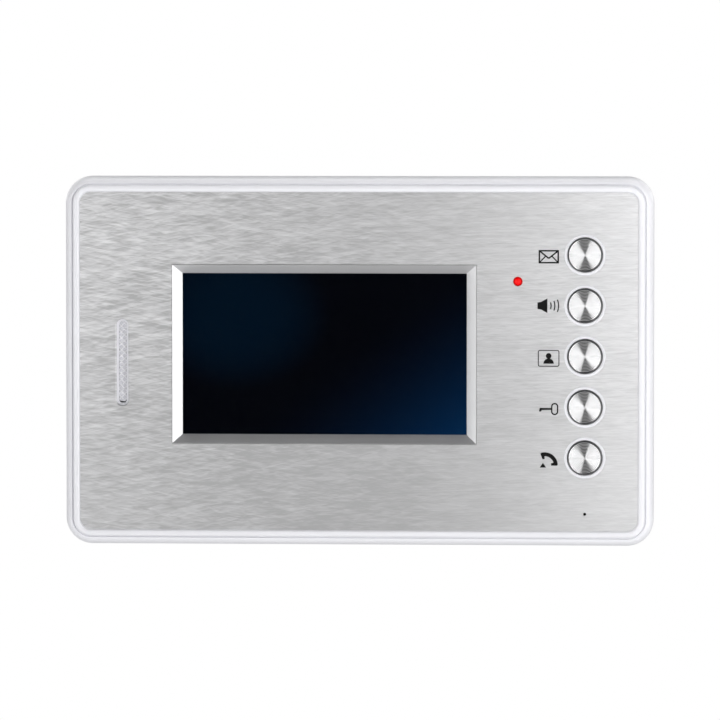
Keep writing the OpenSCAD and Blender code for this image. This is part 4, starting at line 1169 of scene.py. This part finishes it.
# ---------------------------------------------------------------- casing screws

def pan_head(head_r, head_h, shank_r, shank_l):
    """A pan-head screw. The underside of its head is at depth 0, and its shank points out from the wall."""
    dome = [(0, -head_h)] + arc(0, -head_h * 0.45, head_r, -head_h * 0.55, 80, 0, 8)
    under = [(head_r, -0.15), (head_r - 0.15, 0), (shank_r, 0)]
    threads = []
    pitch = shank_r * 0.8
    for i in range(int((shank_l - 1) / pitch)):
        threads += [(shank_r, pitch * i + 0.2), (shank_r * 0.8, pitch * (i + 0.5) + 0.2)]
    return turned(0, 0, dome + under + threads + [(shank_r * 0.5, shank_l), (0, shank_l)], 32)


def cross_cut(head_r, head_h):
    """The two tapered arms of a screwdriver cross."""
    top = (head_r * 1.15, head_r * 0.3, -head_h - 0.3)
    tip = (head_r * 0.7, head_r * 0.24, -head_h * 0.35)
    arms = []
    for long_x in (True, False):
        rings = []
        for length, w, depth in (top, tip):
            a, b = (length / 2, w / 2) if long_x else (w / 2, length / 2)
            rings.append([(a, b, depth), (-a, b, depth), (-a, -b, depth), (a, -b, depth)])
        points, faces = skin(rings, closed=False)
        arms.append((points, faces + [[0, 1, 2, 3], [4, 5, 6, 7]]))
    return arms


def screw(head_r, head_h, shank_r, shank_l):
    """A pan-head screw with its cross cut out."""
    body = placed("screw", plain_mesh("screw", pan_head(head_r, head_h, shank_r, shank_l)))
    cutters = [placed("cut", plain_mesh("cut", arm)) for arm in cross_cut(head_r, head_h)]
    for cutter in cutters:
        cut = body.modifiers.new("cut", "BOOLEAN")
        cut.operation = "DIFFERENCE"
        cut.solver = "EXACT"
        cut.object = cutter
    ready = body.evaluated_get(bpy.context.evaluated_depsgraph_get())
    made = bpy.data.meshes.new_from_object(ready)
    for extra in [body, *cutters]:
        bpy.data.objects.remove(extra)
    return made


casing_screws = COPIES.grow(
    "casing_screws_turned", "screw_steel", screw(HEAD_R, HEAD_H, SHANK_R, SHANK_L),
    Pitch_across=2 * SCREW_X * MM, Pitch_up=2 * SCREW_Z * MM, Centre=(0.0, -WELL_FLOOR * MM, 0.0),
)
finished("casing_screws_turned", casing_screws, "monitor", "screw_steel", ["casing_screws"])


# ---------------------------------------------------------------- wall bracket

def bracket_plate():
    """The flat plate, with a window for the wires, holes for wall screws, and those that the hooks leave."""
    holes = [(0, 0, WIRE_W, WIRE_H, SMALL_R)]
    holes += [circle(x, z, WALL_SCREW_R) for x, z in four(WALL_SCREW_X, WALL_SCREW_Z)]
    holes += [(x, 0, BOX_SLOT_L, BOX_SLOT_W, BOX_SLOT_W / 2) for x in (-BOX_SLOT_X, BOX_SLOT_X)]
    h = BRACKET_T + HOOK_RISE + 3
    holes += [(x, z + BRACKET_T + h / 2, HOOK_W + 1, h, 0.3) for x, z in four(HOOK_X, HOOK_Z)]
    return sheet((0, 0, bracket.w, bracket.h, BRACKET_R), holes, 0, BRACKET_T, 0.12)


def hook(x, z):
    """A tab bent out of the plate and up."""
    half = BRACKET_T / 2
    reach = bracket.face - half
    bend = 1
    path = [(z + half, 0.25)] + [(z + half, reach * i / 4) for i in range(1, 4)]
    for a in [math.radians(15 * i) for i in range(7)]:
        path.append((z + half + bend * (1 - math.cos(a)), reach - bend * (1 - math.sin(a))))
    path += [(z + BRACKET_T + HOOK_RISE - 1, reach), (z + BRACKET_T + HOOK_RISE, reach - 0.05)]
    return bent_strip(x, path, BRACKET_T, HOOK_W)


hooks = [hook(x, z) for x, z in four(HOOK_X, HOOK_Z)]
make("bracket_sheet", joined(bracket_plate(), *hooks), "wall_bracket", "bracket_steel", ["wall_bracket"])


# ---------------------------------------------------------------- finishes of the carried-over nodes

slots = {part["node"]: part["material_slot"] for part in frame["record"]["subparts"]}
for node, carried in frame["nodes"].items():
    carried.data.materials.clear()
    carried.data.materials.append(FINISHES[slots[node]])


# ---------------------------------------------------------------- studio

VIEW_WIDTH = 242.6 * MM
CAMERA_AZIMUTH = 3.5
CAMERA_ELEVATION = 3
LENS = 300
SENSOR = 36
FAR = 100
FLOOR_HALF = 16
FLOOR_Z = -2.4

# Each softbox's name, azimuth and elevation in degrees, distance, width and height in metres, and brightness.
SOFTBOXES = [
    ("right_panel", 36, 0, 1.1, 0.8, 1.5, 1.15),
    ("left_panel", -36, 0, 1.1, 0.8, 1.5, 1.25),
    ("right_strip", 31.4, 6, 0.32, 0.06, 0.4, 3.6),
    ("left_strip", -36, 14, 0.34, 0.06, 0.3, 1.1),
    ("upper_strip", 0, 60, 0.4, 0.5, 0.1, 0.1),
    ("back_right", 145, 20, 1.3, 0.8, 0.8, 1.0),
    ("back_left", -145, 20, 1.3, 0.8, 0.8, 0.8),
    ("right_edge", 84, 0, 1.0, 0.5, 1.2, 1.9),
    ("left_edge", -84, 0, 1.0, 0.5, 1.0, 0.9),
    ("top_edge", 180, 70, 1.1, 1.4, 0.6, 2.4),
]


def direction(azimuth, elevation):
    """From the object towards a place in the studio; azimuth 0 is in front, and 90 to the right."""
    a, e = math.radians(azimuth), math.radians(elevation)
    return Vector((math.sin(a) * math.cos(e), -math.cos(a) * math.cos(e), math.sin(e)))


def aim(thing, towards):
    thing.rotation_euler = (thing.location - towards).to_track_quat("Z", "Y").to_euler()


def studio_camera(middle):
    lens = bpy.data.cameras.new("camera")
    lens.lens = LENS
    lens.sensor_width = SENSOR
    lens.clip_end = FAR
    camera = placed("camera", lens)
    distance = VIEW_WIDTH * LENS / SENSOR
    camera.location = middle + direction(CAMERA_AZIMUTH, CAMERA_ELEVATION) * distance
    aim(camera, middle)
    bpy.context.scene.camera = camera


def softbox(name, azimuth, elevation, distance, w, h, brightness):
    """A lit panel that faces the object. Brightness is what a mirror would show of it."""
    panel = bpy.data.lights.new(name, "AREA")
    panel.shape = "RECTANGLE"
    panel.size = w
    panel.size_y = h
    panel.energy = brightness * math.pi * w * h
    lit = placed(name, panel)
    lit.location = direction(azimuth, elevation) * distance
    aim(lit, Vector((0, 0, 0)))
    lit.visible_camera = False


def studio_room():
    """White to look at. What it lights the object with is grey: paler below, darker above, dark in front."""
    world = bpy.data.worlds.new("studio")
    world.use_nodes = True
    bpy.context.scene.world = world
    nodes = Nodes(world.node_tree)
    world.node_tree.nodes.clear()
    x, y, z = nodes.parts(nodes.node("ShaderNodeTexCoord", {}, {}, output=0))
    in_front = (y * -1).ramp(0.2, 0.6)
    middle_band = x.size().ramp(0.15, 0.45, 1, 0)
    dark_band = 1 - in_front * middle_band * 0.96
    below = z.ramp(-0.2, -0.8, 1, 2.25)
    above = z.ramp(0.2, 0.9, 1, 0.2)
    grey = nodes.node("ShaderNodeBackground", {}, {0: (1, 1, 1, 1), 1: dark_band * below * above * 0.3})
    white = nodes.node("ShaderNodeBackground", {}, {0: (1, 1, 1, 1), 1: 1})
    seen = nodes.node("ShaderNodeLightPath")
    both = nodes.node("ShaderNodeMixShader", {}, {0: seen, 1: grey, 2: white})
    nodes.node("ShaderNodeOutputWorld", {}, {0: both})


def studio_floor():
    """A wide pale floor, well below the object."""
    finish = Finish("studio_floor", Roughness=0.9, Emission_Color=(1, 1, 1, 1), Emission_Strength=0.42)
    clouds = finish.noise(900, 900, 900)
    finish.colour((0.90, 0.90, 0.90, 1), (0.94, 0.94, 0.94, 1), clouds)
    pale = finish.node("ShaderNodeEmission", {}, {0: (0.95, 0.95, 0.95, 1), 1: 1})
    seen = finish.node("ShaderNodeLightPath")
    lit = Value(finish, finish.shader.outputs[0])
    both = finish.node("ShaderNodeMixShader", {}, {0: seen, 1: lit, 2: pale})
    finish.put(finish.surface.inputs["Surface"], both)
    made = bpy.data.meshes.new("studio_floor")
    corners = [(-1, -1), (1, -1), (1, 1), (-1, 1)]
    made.from_pydata([(a * FLOOR_HALF, b * FLOOR_HALF, FLOOR_Z) for a, b in corners], [], [(0, 1, 2, 3)])
    made.materials.append(finish.material)
    floor = placed("studio_floor", made)


middle = (cad_box[0] + cad_box[1]) / 2
studio_camera(middle)
studio_room()
studio_floor()
for lit_panel in SOFTBOXES:
    softbox(*lit_panel)
bpy.context.scene.view_settings.view_transform = "Standard"
